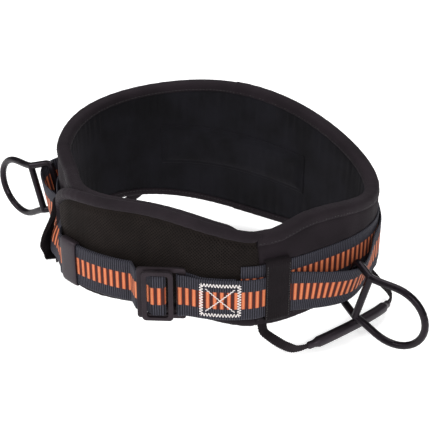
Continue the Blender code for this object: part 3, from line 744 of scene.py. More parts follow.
def plastic_look(name, colour, roughness, grain=0.5):
    """Moulded plastic with a fine spark-eroded grain."""
    look = Look(name)
    cloudy = look.noise(16.0, 3.0)
    look.set(Base_Color=look.mix(cloudy.ramp(0.3, 0.7), colour, scaled(colour, 1.3)),
             Roughness=look.noise(2.0) * 0.12 + (roughness - 0.06))
    look.set(Specular_IOR_Level=0.28, Specular_Tint=WARM_GLINT)
    look.bump(look.noise(grain), 0.05)
    return look.material


def mesh_cloth_look(name):
    """Spacer mesh: staggered holes, painted darker inside as shade in the holes."""
    look = Look(name)
    hole = look.attribute("hole")
    strand = (look.attribute("along") + look.attribute("across")).wave(0.9)
    cloudy = look.noise(28.0, 3.0).ramp(0.35, 0.7)
    base = look.mix(cloudy, (0.0092, 0.0066, 0.0058), (0.0140, 0.0102, 0.0090))
    # Painted shade: the holes are painted nearly black, as shade inside them.
    look.set(Base_Color=look.mix(hole, base, (0.0016, 0.0013, 0.0012)), Roughness=0.82)
    look.set(Sheen_Weight=0.05, Sheen_Roughness=0.4, Sheen_Tint=(0.5, 0.42, 0.4), Specular_IOR_Level=0.10)
    look.bump(strand + look.noise(0.6) * 0.5, 0.07)
    return look.material


def thread_look(name, colour):
    look = Look(name)
    twist = look.noise(0.35, 1.0, stretch=(1.0, 1.0, 3.0))
    look.set(Base_Color=look.mix(twist, scaled(colour, 0.75), colour), Roughness=0.6)
    look.set(Sheen_Weight=0.2)
    look.bump(twist, 0.08)
    return look.material


PAD_CLOTH = cloth_look("pad_cloth", (0.0074, 0.0050, 0.0068), (0.0124, 0.0086, 0.0114), 0.6)
BINDING_CLOTH = cloth_look("binding_tape", (0.0098, 0.0068, 0.0090), (0.0148, 0.0104, 0.0136), 0.8,
                           roughness=0.78, depth=0.14)
LINING_CLOTH = cloth_look("lining_cloth", (0.0046, 0.0043, 0.0054), (0.0086, 0.0082, 0.0112), 0.7,
                          roughness=0.9)
TUNNEL_CLOTH = cloth_look("tunnel_tape", (0.0060, 0.0042, 0.0052), (0.0098, 0.0070, 0.0086), 0.7,
                          sheen=0.04, depth=0.15)
LOOP_CLOTH = cloth_look("loop_webbing", (0.0082, 0.0062, 0.0076), (0.0200, 0.0160, 0.0185), 0.9,
                        roughness=0.95, sheen=0.10, depth=0.22)
MESH_CLOTH = mesh_cloth_look("spacer_mesh")
WEBBING = webbing_look("ladder_webbing")
BUCKLE_STEEL = coated_steel("buckle_coating", (0.0125, 0.0094, 0.0110), 0.42, (0.06, 0.052, 0.057))
RING_STEEL = coated_steel("ring_coating", (0.0040, 0.0032, 0.0042), 0.26, (0.026, 0.022, 0.027))
KEEPER_PLASTIC = plastic_look("keeper_elastomer", (0.0130, 0.0096, 0.0116), 0.5, 0.8)
SLEEVE_PLASTIC = plastic_look("sleeve_plastic", (0.0095, 0.0075, 0.0096), 0.42)
DARK_THREAD = thread_look("dark_thread", (0.0085, 0.0062, 0.0078))
WHITE_THREAD = thread_look("white_thread", (0.80, 0.74, 0.72))

# ---------------------------------------------------------------- pad

def pad_body(wall, guards):
    """Padded band: crowned faces between the bindings, pressed in under the straps."""
    angles = wall.angles_along(PAD_STEP * 2)
    distance = wall.read(wall.length, angles)[:, None]
    low = wall.read(wall.foot, angles)[:, None] + PAD_INSET
    high = wall.read(wall.crest, angles)[:, None] - PAD_INSET
    share = np.linspace(0.0, 1.0, PAD_ROWS)
    height = low + (high - low) * share
    edge = np.minimum(height - low, high - height)
    recess = -BINDING_LIFT * (1.0 - ease(edge, BINDING_HEIGHT - 3.2, BINDING_HEIGHT + 1.5))
    swell = np.sin(math.pi * share) ** 0.6
    waves = ripple(distance, height, PAD_WAVES)
    bulge = PAD_CROWN * swell * (0.8 + 0.2 * waves) + waves * swell
    face = wall.place(angles[:, None], 0.0, height)
    outward = np.broadcast_to(wall.out(angles)[:, None], face.shape)
    room = ray_room(guards, face - outward * 2.0, outward, 12.0) - 2.0
    allowed = np.minimum(bulge, np.maximum(room - STRAP_CLEARANCE, -0.2))
    allowed = np.minimum(blurred(allowed, 2), allowed)
    creases = ripple(distance, height, PAD_CREASES)
    near_edge = 1.0 - ease(edge, 12.0, 46.0)
    inner_bulge = np.maximum(INNER_CROWN * swell + creases * (0.16 + 0.42 * near_edge), -0.4)
    closing = PAD_CLOSING * (1.0 - ease(from_ends(distance), 0.0, 4.0) ** 0.5)
    thickness = wall.read(wall.thickness, angles)[:, None]
    outer = wall.place(angles[:, None], recess + allowed - closing, height)
    inner = wall.place(angles[:, None], closing - recess - thickness - inner_bulge, height)
    points = np.concatenate([outer, inner[:, ::-1]], axis=1)
    side = np.concatenate([height, height[:, ::-1] + 400.0], axis=1)
    mesh = grid_mesh("pad_body", points, along=distance, across=side)
    piece = new_piece("pad_body", mesh, PAD_CLOTH, "belt", "black_cloth",
                      "pad_core", "outer_cover", "inner_lining")
    piece.data.materials.append(LINING_CLOTH)
    columns = PAD_ROWS * 2
    for index, polygon in enumerate(piece.data.polygons[:(len(angles) - 1) * columns]):
        polygon.material_index = 1 if index % columns >= PAD_ROWS else 0


def binding_section(thickness):
    """Half-round fold over the pad's edge, as (offset from the outer face, depth below the edge)."""
    reach = (thickness + TAPE_EXTRA) / 2
    middle = -thickness / 2
    turn = np.linspace(0.0, math.pi, 15)
    fold = np.stack([middle + reach * squarer(np.cos(turn), 0.62),
                     BINDING_ROUND * (1.0 - np.sin(turn).clip(0.0) ** 0.72) + TAPE_THICKNESS / 2], axis=1)
    down = [(middle + reach - 0.25, BINDING_HEIGHT), (middle + reach, BINDING_HEIGHT * 0.82)]
    up = [(middle - reach, BINDING_HEIGHT * 0.82), (middle - reach + 0.25, BINDING_HEIGHT)]
    return loop_round([*down, *fold, *up], TAPE_THICKNESS)


def binding(name, wall, edge, inward):
    """Folded edge tape, a little uneven, with one lapped join and two rows of stitches."""
    angles = wall.angles_along(PAD_STEP)
    distance = wall.read(wall.length, angles)[:, None]
    rim = wall.read(edge, angles)
    thickness = wall.read(wall.thickness, angles)
    usual = float(np.mean(thickness))
    section = binding_section(usual)
    offset, depth = section.T[:, None]
    waves = ripple(distance, 0.0, TAPE_WAVES)
    puckers = 0.10 * np.cos(2 * math.pi * distance / (STITCH_LENGTH + STITCH_GAP))
    low_part = ease(depth, 2.0, BINDING_HEIGHT)
    out_sign = np.sign(offset + usual / 2)
    lapped = TAPE_LAP * ease(angles[:, None], TAPE_JOIN_DEG + 0.25, TAPE_JOIN_DEG - 0.25)
    offset = offset + out_sign * (waves * (0.4 + 0.6 * low_part) + puckers * low_part + lapped * 0.5)
    height = rim[:, None] + inward * (depth - (lapped + waves * 0.5) * (1.0 - low_part))
    points = wall.place(angles[:, None], offset, height)
    mesh = grid_mesh(name, points, along=distance, across=travelled(section))
    new_piece(name + "_tape", mesh, BINDING_CLOTH, "belt", "binding", name)
    runs = []
    for side in (1.0, -1.0):
        face = ((thickness + TAPE_EXTRA) * side - thickness) / 2 + side * TAPE_THICKNESS / 2
        line = wall.place(angles, face, rim + inward * (BINDING_HEIGHT - BINDING_SEAM))
        runs.append((line, wall.out(angles) * side))
    sewn(name + "_stitches", runs, "binding")


def lumbar_cushion(wall):
    """Crowned quilted panel on the inside of the back, with a sewn channel round it."""
    tree = tree_of("lumbar_pad")
    found = []
    for angle in wall.angles_along(2.0):
        out = heading(angle)
        hit = tree.ray_cast(UP * PROBE_HEIGHT, out)[0]
        span = hit is not None and span_up(tree, hit + out * 1.5)
        if span:
            found.append((angle, *span))
    angle, low, high = np.array(found).T[..., None]
    low, high = (smoothed(row[:, 0], SHORT_WINDOW)[:, None] for row in (low, high))
    height = low + (high - low) * np.linspace(0.0, 1.0, 34)
    distance = wall.read(wall.length, angle)
    edge = np.minimum(np.minimum(height - low, high - height), from_ends(distance))
    crown = 0.3 + LUMBAR_CROWN * ease(edge, 0.0, LUMBAR_CROWN_REACH) ** 0.7
    crown = crown - CHANNEL_DEPTH * hump(edge, CHANNEL_INSET, CHANNEL_WIDTH)
    folds = ripple(distance, height, LUMBAR_FOLDS)
    face = -wall.read(wall.thickness, angle) - INNER_CROWN - 0.25
    inner = wall.place(angle, face - crown - folds * ease(edge, 2.0, 8.0), height)
    back = wall.place(angle, face + 0.5, height)
    points = np.concatenate([inner, back[:, ::-1]], axis=1)
    across = np.concatenate([height, height[:, ::-1]], axis=1)
    mesh = grid_mesh("lumbar_cushion", points, along=distance, across=across)
    new_piece("lumbar_cushion", mesh, LINING_CLOTH, "belt", "lining", "lumbar_pad")


# ---------------------------------------------------------------- flap

def tip_shaped(wall, points):
    """How near points are to the flap's free end, and the points with that end longer and rounder."""
    turn, forward, _ = compass(points)
    distance = np.interp(np.degrees(turn), wall.angle, wall.length)
    near_tip = 1.0 - ease(distance, wall.length[0], wall.length[0] + TIP_ZONE)
    near_seam = ease(wall.length[-1] - distance, *SEAM_ZONE)
    height = points[..., 2]
    droop = ease(height, *TIP_HEIGHTS) * (near_tip * TIP_DROOP + near_seam * SEAM_DROOP)
    droop += BUCKLE_SAG * hump(points[..., 0], BUCKLE_X, BUCKLE_WIDTH) * ease(height, *BUCKLE_HEIGHTS)
    moved = points - forward * (near_tip * TIP_REACH)[..., None]
    moved[..., 2] -= droop
    return near_tip, moved


def flap_roll(wall, centres):
    """Rolled border along three sides of the flap."""
    border, along = evenly(centres, 1.0)
    roll = ROLL_RADIUS + ROLL_SWELL + ripple(along, 0.0, ROLL_WRINKLES)
    near_tip, border = tip_shaped(wall, border)
    roll = (roll + near_tip * TIP_SWELL) * (0.65 + 0.35 * ease(from_ends(along), 0.0, 9.0))
    mesh = tube_mesh("flap_roll", border, roll, sides=28)
    new_piece("flap_roll", mesh, BINDING_CLOTH, "belt", "binding", "flap_border")


def flap_crown(face, outward, guards, crown):
    """The crown, held back where a strap or the buckle lies in front of it."""
    coarse = (slice(None, None, 4), slice(None, None, 4))
    room = ray_room(guards, (face - outward * 4.0)[coarse], outward[coarse], 14.0) - 4.0
    room = np.repeat(np.repeat(room, 4, axis=0), 4, axis=1)[:face.shape[0], :face.shape[1]]
    crown = np.minimum(crown, np.maximum(room - STRAP_CLEARANCE, -3.4))
    return np.minimum(blurred(crown, 8), crown)


def flap(wall, guards):
    """Front cushion faced with spacer mesh, inside a rolled border."""
    centres = np.array([np.mean(ring, axis=0) for ring in rings("flap_border")])
    if centres[0][2] < centres[-1][2]:
        centres = centres[::-1]
    flap_roll(wall, centres)

    half = len(centres) // 2
    upper = refined(centres[:half + 1], FLAP_COLUMNS)[:-1]
    lower = refined(centres[:half - 1:-1], FLAP_COLUMNS)[:-1]
    angle = np.degrees(compass(upper)[0])[:, None]
    top = upper[:, 2:3] - ROLL_RADIUS * 0.75
    bottom = lower[:, 2:3] + ROLL_RADIUS * 0.75
    height = bottom + (top - bottom) * np.linspace(0.0, 1.0, FLAP_ROWS)
    distance = wall.read(wall.length, angle)
    from_tip = np.maximum(distance - distance.min() - ROLL_RADIUS * 0.4, 0.0)
    edge = np.minimum(np.minimum(height - bottom, top - height), from_tip)
    crown = -FLAP_RECESS + FLAP_RISE * ease(edge, 1.5, 9.5) + FLAP_CROWN * ease(edge, 6.0, 28.0)
    soft = ripple(distance, height, FLAP_FOLDS) * ease(edge, 4.0, 16.0)
    crown = crown + soft - 2.6 * (1.0 - ease(distance.max() - distance, 0.0, 5.0) ** 0.5)
    face = wall.place(angle, 0.0, height)
    outward = np.broadcast_to(wall.out(angle), face.shape)
    crown = flap_crown(face, outward, guards, crown)
    lattice_u = 0.5 + 0.5 * np.cos(2 * math.pi * (distance + height) / MESH_PITCH)
    lattice_v = 0.5 + 0.5 * np.cos(2 * math.pi * (distance - height) / MESH_PITCH)
    # The hole mask dents the mesh and, in the spacer mesh's material, paints shade into the holes.
    hole = ease(lattice_u * lattice_v, 0.15, 0.55) * ease(edge, 3.0, 6.0)
    front = wall.place(angle, crown - hole * MESH_DEPTH, height)
    back_height = bottom + (top - bottom) * np.linspace(1.0, 0.0, FLAP_BACK_ROWS)
    back_edge = np.minimum(back_height - bottom, top - back_height)
    back_offset = 2.2 * (1.0 - ease(back_edge, 0.0, 6.0)) + 0.4 - wall.read(wall.thickness, angle)
    back = wall.place(angle, back_offset, back_height)
    points = tip_shaped(wall, np.concatenate([front, back], axis=1))[1]
    holes = np.concatenate([hole, np.zeros(back_height.shape)], axis=1)
    across = np.concatenate([height, back_height], axis=1)
    mesh = grid_mesh("flap_cushion", points, along=distance, across=across, hole=holes)
    new_piece("flap_cushion", mesh, MESH_CLOTH, "belt", "air_mesh", "flap_core")


# ---------------------------------------------------------------- tunnels

def tunnel_skin(name, wall):
    """The tunnel's angles, lowest and highest points, and depths over the pad, read from the CAD."""
    tree = tree_of(name)
    found = []
    for angle in wall.angles_along(0.45):
        out = heading(angle)
        column = []
        for height in np.arange(-40.0, 60.0, 0.5):
            hit = tree.ray_cast(out * PROBE_REACH + UP * height, -out, PROBE_REACH)[0]
            if hit is not None:
                column.append((height, hit.to_2d().length))
        if len(column) > 8:
            height, reach = np.array(column).T
            spots = np.linspace(height[0] + 3.0, height[-1] - 3.0, TUNNEL_DEPTHS)
            found.append((angle, height[0], height[-1], *np.interp(spots, height, reach)))
    table = np.array(found)
    angle = table[:, 0]
    base = np.linalg.norm(wall.place(angle, 0.0, 0.0)[:, :2], axis=1)
    facing = np.array([wall.out(a) @ np.array(heading(a)) for a in angle])
    depth = np.apply_along_axis(smoothed, 0, (table[:, 3:] - base[:, None]) * facing[:, None], SHORT_WINDOW)
    return angle, table[:, 1].mean(), table[:, 2].mean(), depth


def tunnel(name, wall, shift=lambda points: points):
    """Ribbed tape bridging the webbing: its skin is read from the CAD solid, then folded inward."""
    angle, low, high, depth = tunnel_skin(name, wall)
    places = np.linspace(0.0, 1.0, TUNNEL_DEPTHS)
    shares = np.linspace(0.0, 1.0, TUNNEL_ROWS)
    distance = wall.read(wall.length, angle)
    ribs = TUNNEL_RIB * np.cos(2 * math.pi * distance / TUNNEL_RIB_PITCH)
    heights = low + TUNNEL_HALF_WALL + (high - low - 2 * TUNNEL_HALF_WALL) * shares
    rounding = np.minimum(shares, 1.0 - shares) * (high - low)
    tuck_in = TUNNEL_TUCK * (1.0 - ease(rounding, 0.0, 3.5) ** 0.5)
    rows = []
    for index, a in enumerate(angle):
        plate = np.interp(shares, places, depth[index]) - TUNNEL_HALF_WALL
        skin = np.stack([plate - tuck_in + ribs[index], heights], axis=1)
        start = [(0.25, heights[0]), (plate[0] * 0.5, heights[0] - 0.1)]
        end = [(plate[-1] * 0.5, heights[-1] + 0.1), (0.25, heights[-1])]
        outline = loop_round([*start, *skin, *end], 2 * TUNNEL_HALF_WALL)
        rows.append(wall.place(a, outline[:, 0], outline[:, 1]))
    points = shift(np.array(rows))
    across = np.linspace(0.0, 150.0, points.shape[1])
    mesh = grid_mesh(name, points, along=distance[:, None], across=across)
    new_piece(name + "_tape", mesh, TUNNEL_CLOTH, "belt", "tunnel_cloth", name)
    runs = []
    for index in (3, len(angle) - 4):
        line_heights = np.linspace(low + 3.0, high - 3.0, 60)
        depths = np.interp(line_heights, np.linspace(low, high, TUNNEL_DEPTHS), depth[index])
        line = shift(wall.place(angle[index], depths + 0.1, line_heights))
        runs.append((line, np.broadcast_to(wall.out(angle[index]), line.shape)))
    sewn(name + "_stitches", runs, "tunnel_cloth", length=2.0, gap=0.7)


# ---------------------------------------------------------------- webbing

def leaned(points):
    """Points near the left tunnel, laid back towards the pad more the higher they are."""
    turn, _, outward = compass(points)
    angle = np.degrees(turn) % 360.0
    height = points[..., 2]
    share = ease(angle, *LEAN_START_DEG) * ease(angle, *LEAN_END_DEG)
    back = LEAN_DEPTH * share * ease(height, *LEAN_HEIGHTS)
    back -= BULGE * hump(angle, BULGE_DEG, BULGE_WIDTH_DEG) * ease(height, *BULGE_HEIGHTS)
    return points - outward * back[..., None]


def leaned_with_corner(points):
    """The left tunnel: laid back like the strap, with its lower edge drawn in to the pad."""
    tuck = CORNER_TUCK * ease(points[..., 2], *CORNER_HEIGHTS)
    return leaned(points) - compass(points)[2] * tuck[..., None]


def sagged(points):
    """Lower edge of the right strap let down a little where it turns round the buckle's bar."""
    share = hump(points[..., 0], SAG_X, SAG_WIDTH) * ease(points[..., 2], *SAG_HEIGHTS)
    return points - np.array(UP) * (share * SAG_DEPTH)[..., None]


def strap(name, node, rib_height=0.26, bar_height=0.26, shift=lambda points: points):
    """Ribbed webbing with raised ladder bars and round selvedges, along the CAD strap's line."""
    centre, up, width, along = strap_line(node, WEB_STEP)
    normal = unit(np.cross(unit(np.gradient(centre, axis=0)), up))
    turn = np.linspace(-1.0, 1.0, WEB_COLUMNS)
    half_width = float(np.mean(width)) / 2
    across = np.sign(turn) * (1.0 - (1.0 - np.abs(turn)) ** 1.25) * half_width
    edge = half_width - np.abs(across)
    rounded = 1.0 - (1.0 - np.clip(edge / 1.2, 0.0, 1.0)) ** 2
    half = WEB_EDGE_HALF + WEB_SELVEDGE_HALF * np.sqrt(np.clip(rounded, 0.0, 1.0))
    place = np.abs((along / BAR_PITCH) % 1.0 - 0.5)[:, None]
    bar = ease(place, BAR_SHARE / 2 + 0.06, BAR_SHARE / 2 - 0.10)
    zone = ease(np.abs(across), BAR_HALF_ZONE + 0.8, BAR_HALF_ZONE - 0.4)
    rib = 0.5 + 0.5 * np.cos(2 * math.pi * along * RIBS_PER_BAR / BAR_PITCH)[:, None]
    relief = rib_height * rib * (1.0 - zone) * ease(edge, 0.0, 1.5) + bar_height * bar * zone
    lift = half - rib_height * 0.5 + relief
    wide = np.broadcast_to(across, lift.shape)
    front = swept(centre, up, normal, wide, lift)
    back = swept(centre, up, normal, wide, -lift)
    points = shift(np.concatenate([front, back[:, ::-1]], axis=1))
    both = np.concatenate([across, across[::-1]])
    mesh = grid_mesh(name, points, along=along[:, None], across=both)
    new_piece(name, mesh, WEBBING, "belt", "webbing", node)
    return centre, up, normal, along


def box_stitch(centre, up, normal, along):
    """Sewn box with a cross in it, in white zigzag thread, on the outer layer of the right strap."""
    turn, _, away = compass(centre)
    outward = normal * np.sign(np.einsum("ij,ij->i", normal, away))[:, None]
    outer_start = int(np.argmin(centre[:, 0]))
    angle = np.degrees(turn[outer_start:])
    first = outer_start + int(np.argmin(np.abs(angle - BOX_START_DEG)))
    last = int(np.argmin(np.abs(along - along[first] - BOX_WIDTH)))
    if last <= first:
        raise ValueError("the box stitch doesn't fit on the strap")
    places = np.arange(len(centre))
    half = BOX_HEIGHT / 2
    corners = ((0.0, -half), (1.0, -half), (1.0, half), (0.0, half), (0.0, -half))
    lines = [(start, end, ZIGZAG_SWING) for start, end in zip(corners, corners[1:])]
    cross = ((0.12, -half * 0.76), (0.88, half * 0.76)), ((0.12, half * 0.76), (0.88, -half * 0.76))
    lines += [(start, end, ZIGZAG_SWING * 0.25) for start, end in cross]
    work = bmesh.new()
    for start, end, swing in lines:
        run = ((end[0] - start[0]) * BOX_WIDTH, end[1] - start[1])
        reach = math.hypot(*run)
        count = max(4, round(reach / ZIGZAG_PITCH) * 2)
        part = np.arange(count + 1) / count
        sway = np.where(np.arange(count + 1) % 2, swing, -swing)
        share = start[0] + (end[0] - start[0]) * part - run[1] / reach * sway / BOX_WIDTH
        height = start[1] + (end[1] - start[1]) * part + run[0] / reach * sway
        spots = first + (last - first) * share
        points = (read_rows(spots, places, centre) + read_rows(spots, places, outward) * BOX_LIFT
                  + read_rows(spots, places, up) * (height + BOX_DROP)[:, None])
        centres = evenly(points, 0.35)[0]
        work.from_mesh(tube_mesh("thread", centres, np.full(len(centres), THREAD_RADIUS), sides=7))
    joined = bpy.data.meshes.new("box_stitch")
    work.to_mesh(joined)
    work.free()
    joined.shade_smooth()
    new_piece("box_stitch", joined, WHITE_THREAD, "belt", "webbing")


# ---------------------------------------------------------------- hardware

def keeper():
    """Moulded loop round both strap layers: thick soft lips and a slight bulge."""
    joint = next(j for j in frame["joints"] if j["child"] == "keeper")
    pivot = np.array(joint["pos_m"]) / MM
    mesh = frame["nodes"]["webbing_keeper"].data
    points = np.array([vertex.co for vertex in mesh.vertices]) / MM - pivot
    pivot -= np.array(WAIST_CENTRE)
    radius = np.linalg.norm(points[:, :2], axis=1)
    turn = np.unwrap(np.arctan2(points[:, 1], points[:, 0]) % (2 * math.pi))
    middle = (radius.min() + radius.max()) / 2
    reach = (radius.max() - radius.min()) / 2 - KEEPER_HALF_WALL
    tall = (points[:, 2].max() - points[:, 2].min()) / 2 - KEEPER_HALF_WALL
    extra_turn = KEEPER_EXTRA / middle
    mid_turn = (turn.max() + turn.min()) / 2 + extra_turn
    half_turn = (turn.max() - turn.min() + extra_turn) / 2
    around = circle(72)
    section = np.stack([middle + reach * squarer(np.cos(around), 0.5),
                        tall * squarer(np.sin(around), 0.3)], axis=1)
    slope = np.gradient(section, axis=0)
    normal = unit(np.stack([slope[:, 1], -slope[:, 0]], axis=1))
    loop = circle(36)
    along = squarer(np.cos(loop), 0.35)
    deep = squarer(np.sin(loop), 0.6)
    swell = 0.35 * (1.0 - along ** 4) * (deep > 0) + deep * (KEEPER_HALF_WALL + 0.25 * np.abs(along) ** 8)
    wall = section[:, None] + normal[:, None] * swell[:, None]
    angle = mid_turn + along * half_turn
    ring = np.stack([wall[..., 0] * np.cos(angle), wall[..., 0] * np.sin(angle), wall[..., 1]], axis=-1)
    new_piece("keeper_loop", grid_mesh("keeper_loop", pivot + ring, ring=True), KEEPER_PLASTIC,
              "keeper", "keeper_plastic", "webbing_keeper")


def coat(node, look):
    """Welds a kept CAD node and gives it its material; more modifiers may follow."""
    piece = frame["nodes"][node]
    piece.modifiers.new("weld", "WELD").merge_threshold = WELD_M * 10
    piece.data.materials.clear()
    piece.data.materials.append(look)
    return piece


def buckle_part(node, bevel):
    """Pressed steel with rounded edges."""
    piece = coat(node, BUCKLE_STEEL)
    edges = piece.modifiers.new("edges", "BEVEL")
    edges.width = bevel * MM
    edges.segments = 4
    edges.limit_method = "ANGLE"
    edges.angle_limit = math.radians(40.0)
    edges.harden_normals = False
    piece.data.shade_smooth()
    piece.data.set_sharp_from_angle(angle=math.radians(35.0))


def d_ring(node):
    """Forged wire: the CAD's stretches blended into one skin, filled out to the wire's thickness."""
    piece = coat(node, RING_STEEL)
    skin = piece.modifiers.new("skin", "REMESH")
    skin.mode = "VOXEL"
    skin.voxel_size = 0.5 * MM
    skin.use_smooth_shade = True
    even = piece.modifiers.new("even", "SMOOTH")
    even.factor = 0.5
    even.iterations = 6
    fuller = piece.modifiers.new("fuller", "DISPLACE")
    fuller.strength = 0.55 * MM
    fuller.mid_level = 0.0


def tucked_ends(centre, up, width, along):
    """The loop's line, carried on at both ends to where it is sewn inside the pad's foot."""
    step = along[1] - along[0]
    count = round(LOOP_TUCK / step)
    rise = np.arange(1, count + 1)[:, None] * step
    for _ in range(2):
        lead = unit(centre[0] - centre[4])
        inward = -centre[0] * (1.0, 1.0, 0.0) / np.linalg.norm(centre[0][:2])
        bend = ease(rise, -LOOP_TUCK * 0.6, LOOP_TUCK * 0.35)
        heading_up = lead * (1.0 - bend) + (np.array(UP) + inward * 0.35) * bend
        more = centre[0] + np.cumsum(unit(heading_up) * step, axis=0)
        centre = np.concatenate([more[::-1], centre])[::-1]
        up = np.concatenate([np.repeat(up[:1], count, axis=0), up])[::-1]
        width = np.concatenate([np.repeat(width[:1], count), width])[::-1]
    return centre, up, width, np.arange(len(centre)) * step


def settled(side, centre, along):
    """The loop's line with its ends set nearer to where they are sewn."""
    from_front = along if centre[0][1] < centre[-1][1] else along[-1] - along
    front = 1.0 - ease(from_front, 6.0, 45.0)
    rear = 1.0 - ease(along[-1] - from_front, 4.0, 42.0)
    _, forward, outward = compass(centre)
    forward_shift, outward_shift, lift = LOOP_SETTLING[side]
    return (centre + forward * (front * forward_shift)[:, None]
            + (outward * outward_shift + np.array(UP) * lift) * rear[:, None])


def faced(centre, up, tangent, along):
    """Width directions, turned at both ends so that the band lies flat against the pad."""
    flat = compass(centre)[1]
    at_rear = centre[:, 1] > np.mean(centre[[0, -1], 1])
    flat[at_rear] = np.cross(flat, tangent)[at_rear]
    share = (1.0 - ease(from_ends(along), LOOP_TUCK, LOOP_TUCK + 34.0))[:, None]
    flat *= np.where(np.einsum("ij,ij->i", flat, up) < 0.0, -1.0, 1.0)[:, None]
    mixed = up * (1.0 - share) + flat * share
    return unit(mixed - tangent * np.einsum("ij,ij->i", mixed, tangent)[:, None])


def gear_loop(side):
    """Fuzzy narrow webbing with scalloped picks, and the plastic sleeve over its middle."""
    node = side + "_gear_loop"
    body = side + "_loop"
    centre, up, width, along = strap_line(node, LOOP_STEP)
    centre, up, width, along = tucked_ends(settled(side, centre, along), up, width, along)
    centre = np.apply_along_axis(smoothed, 0, centre, LOOP_WINDOW)
    tangent = unit(np.gradient(centre, axis=0))
    up = faced(centre, up, tangent, along)
    normal = unit(np.cross(tangent, up))
    turn = circle(24)
    picks = 0.5 + 0.5 * np.cos(2 * math.pi * along / LOOP_PICK)
    half = width / 2 + picks * 0.45
    thick = 1.05 + picks * 0.2 + ripple(along, 0.0, LOOP_FUZZ)
    points = swept(centre, up, normal, squarer(np.cos(turn), 0.6) * half[:, None],
                   squarer(np.sin(turn), 0.7) * thick[:, None])
    mesh = grid_mesh(node, points, along=along[:, None], across=turn * 3.0)
    new_piece(node + "_band", mesh, LOOP_CLOTH, body, "loop_webbing", node)

    sleeve = tree_of(node + "_sleeve")
    inside = [index for index, spot in enumerate(centre)
              if sleeve.find_nearest(Vector(spot))[3] < SLEEVE_REACH]
    spots = slice(inside[0], inside[-1] + 1)
    reach = along[spots] - along[inside[0]]
    end = from_ends(reach)
    radius = 2.8 + 0.8 * ease(end, 0.0, 1.5) + 1.6 * ease(end, 7.0, 12.0) + 0.25 * hump(end, 8.0, 0.9)
    radius = radius[:, None]
    points = swept(centre[spots], up[spots], normal[spots], squarer(np.cos(turn), 0.75) * radius,
                   squarer(np.sin(turn), 0.75) * radius * 0.92)
    mesh = grid_mesh(node + "_sleeve", points, along=reach[:, None], across=turn * 4.0)
    new_piece(node + "_tube", mesh, SLEEVE_PLASTIC, body, "sleeve_plastic", node + "_sleeve")


# ---------------------------------------------------------------- studio

def placed(name, data, offset):
    """A light or camera at an offset in metres from the waist, looking at it."""
    thing = bpy.data.objects.new(name, data)
    thing.location = WAIST_CENTRE * MM + Vector(offset)
    bpy.context.scene.collection.objects.link(thing)
    thing.rotation_mode = "QUATERNION"
    thing.rotation_quaternion = (-Vector(offset)).to_track_quat("-Z", "Y")
    return thing


def area_light(name, offset, size, power):
    data = bpy.data.lights.new(name, "AREA")
    data.shape = "RECTANGLE"
    data.size, data.size_y = size
    data.energy = power
    placed(name, data, offset)


def floor():
    look = Look("studio_floor")
    tone = look.noise(400.0)
    look.set(Base_Color=look.mix(tone, (0.90, 0.90, 0.90), (0.94, 0.94, 0.94)), Roughness=0.8)
    look.set(Emission_Color=(1.0, 1.0, 1.0), Emission_Strength=FLOOR_GLOW)
    bpy.ops.mesh.primitive_plane_add(size=12.0, location=(0.0, 0.0, cad_box[0].z - FLOOR_GAP_M))
    plane = bpy.context.object
    plane.name = "studio_floor"
    plane.data.materials.append(look.material)


def surroundings():
    """White to the camera, softer as fill light, and softer still in reflections."""
    world = bpy.data.worlds.new("studio")
    world.use_nodes = True
    path = world.node_tree.nodes.new("ShaderNodeLightPath")
    seen = Number(world.node_tree, path.outputs["Is Camera Ray"])
    mirrored = Number(world.node_tree, path.outputs["Is Glossy Ray"])
    strength = seen * (1.0 - FILL_LIGHT) + FILL_LIGHT - mirrored * MIRROR_CUT
    background = world.node_tree.nodes["Background"].inputs
    feed(world.node_tree, background["Color"], (1.0, 1.0, 1.0))
    feed(world.node_tree, background["Strength"], strength)
    bpy.context.scene.world = world


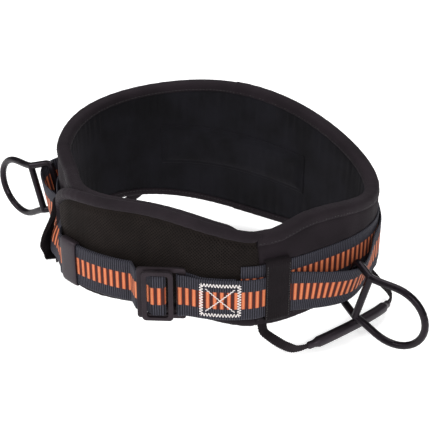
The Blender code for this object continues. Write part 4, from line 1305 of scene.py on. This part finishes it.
def studio():
    """Pale floor, soft lights and the camera."""
    floor()
    surroundings()
    area_light("front_softbox", (0.5, -1.5, 0.9), (1.1, 0.8), 20.0)
    area_light("left_softbox", (-1.3, -0.5, 0.9), (0.8, 0.9), 15.0)
    area_light("top_softbox", (0.1, 0.5, 1.6), (1.2, 1.0), 15.0)
    data = bpy.data.cameras.new("camera")
    data.lens = CAMERA_LENS_MM
    data.sensor_width = SENSOR_WIDTH_MM
    data.shift_x, data.shift_y = CAMERA_SHIFT
    elevation = math.radians(CAMERA_ELEVATION_DEG)
    sight = heading(CAMERA_AZIMUTH_DEG) * math.cos(elevation) + UP * math.sin(elevation)
    bpy.context.scene.camera = placed("camera", data, sight * CAMERA_DISTANCE_M)
    bpy.context.scene.view_settings.view_transform = "Standard"


# ---------------------------------------------------------------- the belt

PAD = Wall(tree_of("inner_lining"), tree_of("outer_cover"),
           tree_of("top_binding", "bottom_binding"), *PAD_SPAN_DEG)
FLAP = Wall(tree_of("flap_core"), tree_of("flap_core"), tree_of("flap_border"), *FLAP_SPAN_DEG)
IN_FRONT = tree_of("right_tunnel", "left_tunnel", "rear_tunnel", "back_webbing", "right_webbing",
                   "left_webbing", "webbing_keeper", "buckle_rear_frame")

PAD.crest -= END_DROOP * ease(PAD.length, *END_ZONE)
PAD.crest -= HIDDEN_END_DROOP * ease(PAD.length[-1] - PAD.length, *HIDDEN_END_ZONE)
PAD.lengthen_start(PAD_START_EXTRA_DEG)
pad_body(PAD, IN_FRONT)
binding("top_binding", PAD, PAD.crest, inward=-1.0)
binding("bottom_binding", PAD, PAD.foot, inward=1.0)
lumbar_cushion(PAD)
flap(FLAP, IN_FRONT)
tunnel("right_tunnel", PAD)
tunnel("left_tunnel", PAD, leaned_with_corner)
tunnel("rear_tunnel", PAD)
strap("back_strap", "back_webbing", rib_height=0.10, bar_height=0.22)
box_stitch(*strap("right_strap", "right_webbing", shift=sagged))
strap("left_strap", "left_webbing", shift=leaned)
keeper()
buckle_part("buckle_rear_frame", bevel=0.9)
buckle_part("buckle_front_frame", bevel=1.1)
buckle_part("buckle_slide_bar", bevel=0.3)
for side_name in ("right", "left"):
    d_ring(side_name + "_d_ring")
    gear_loop(side_name)
studio()
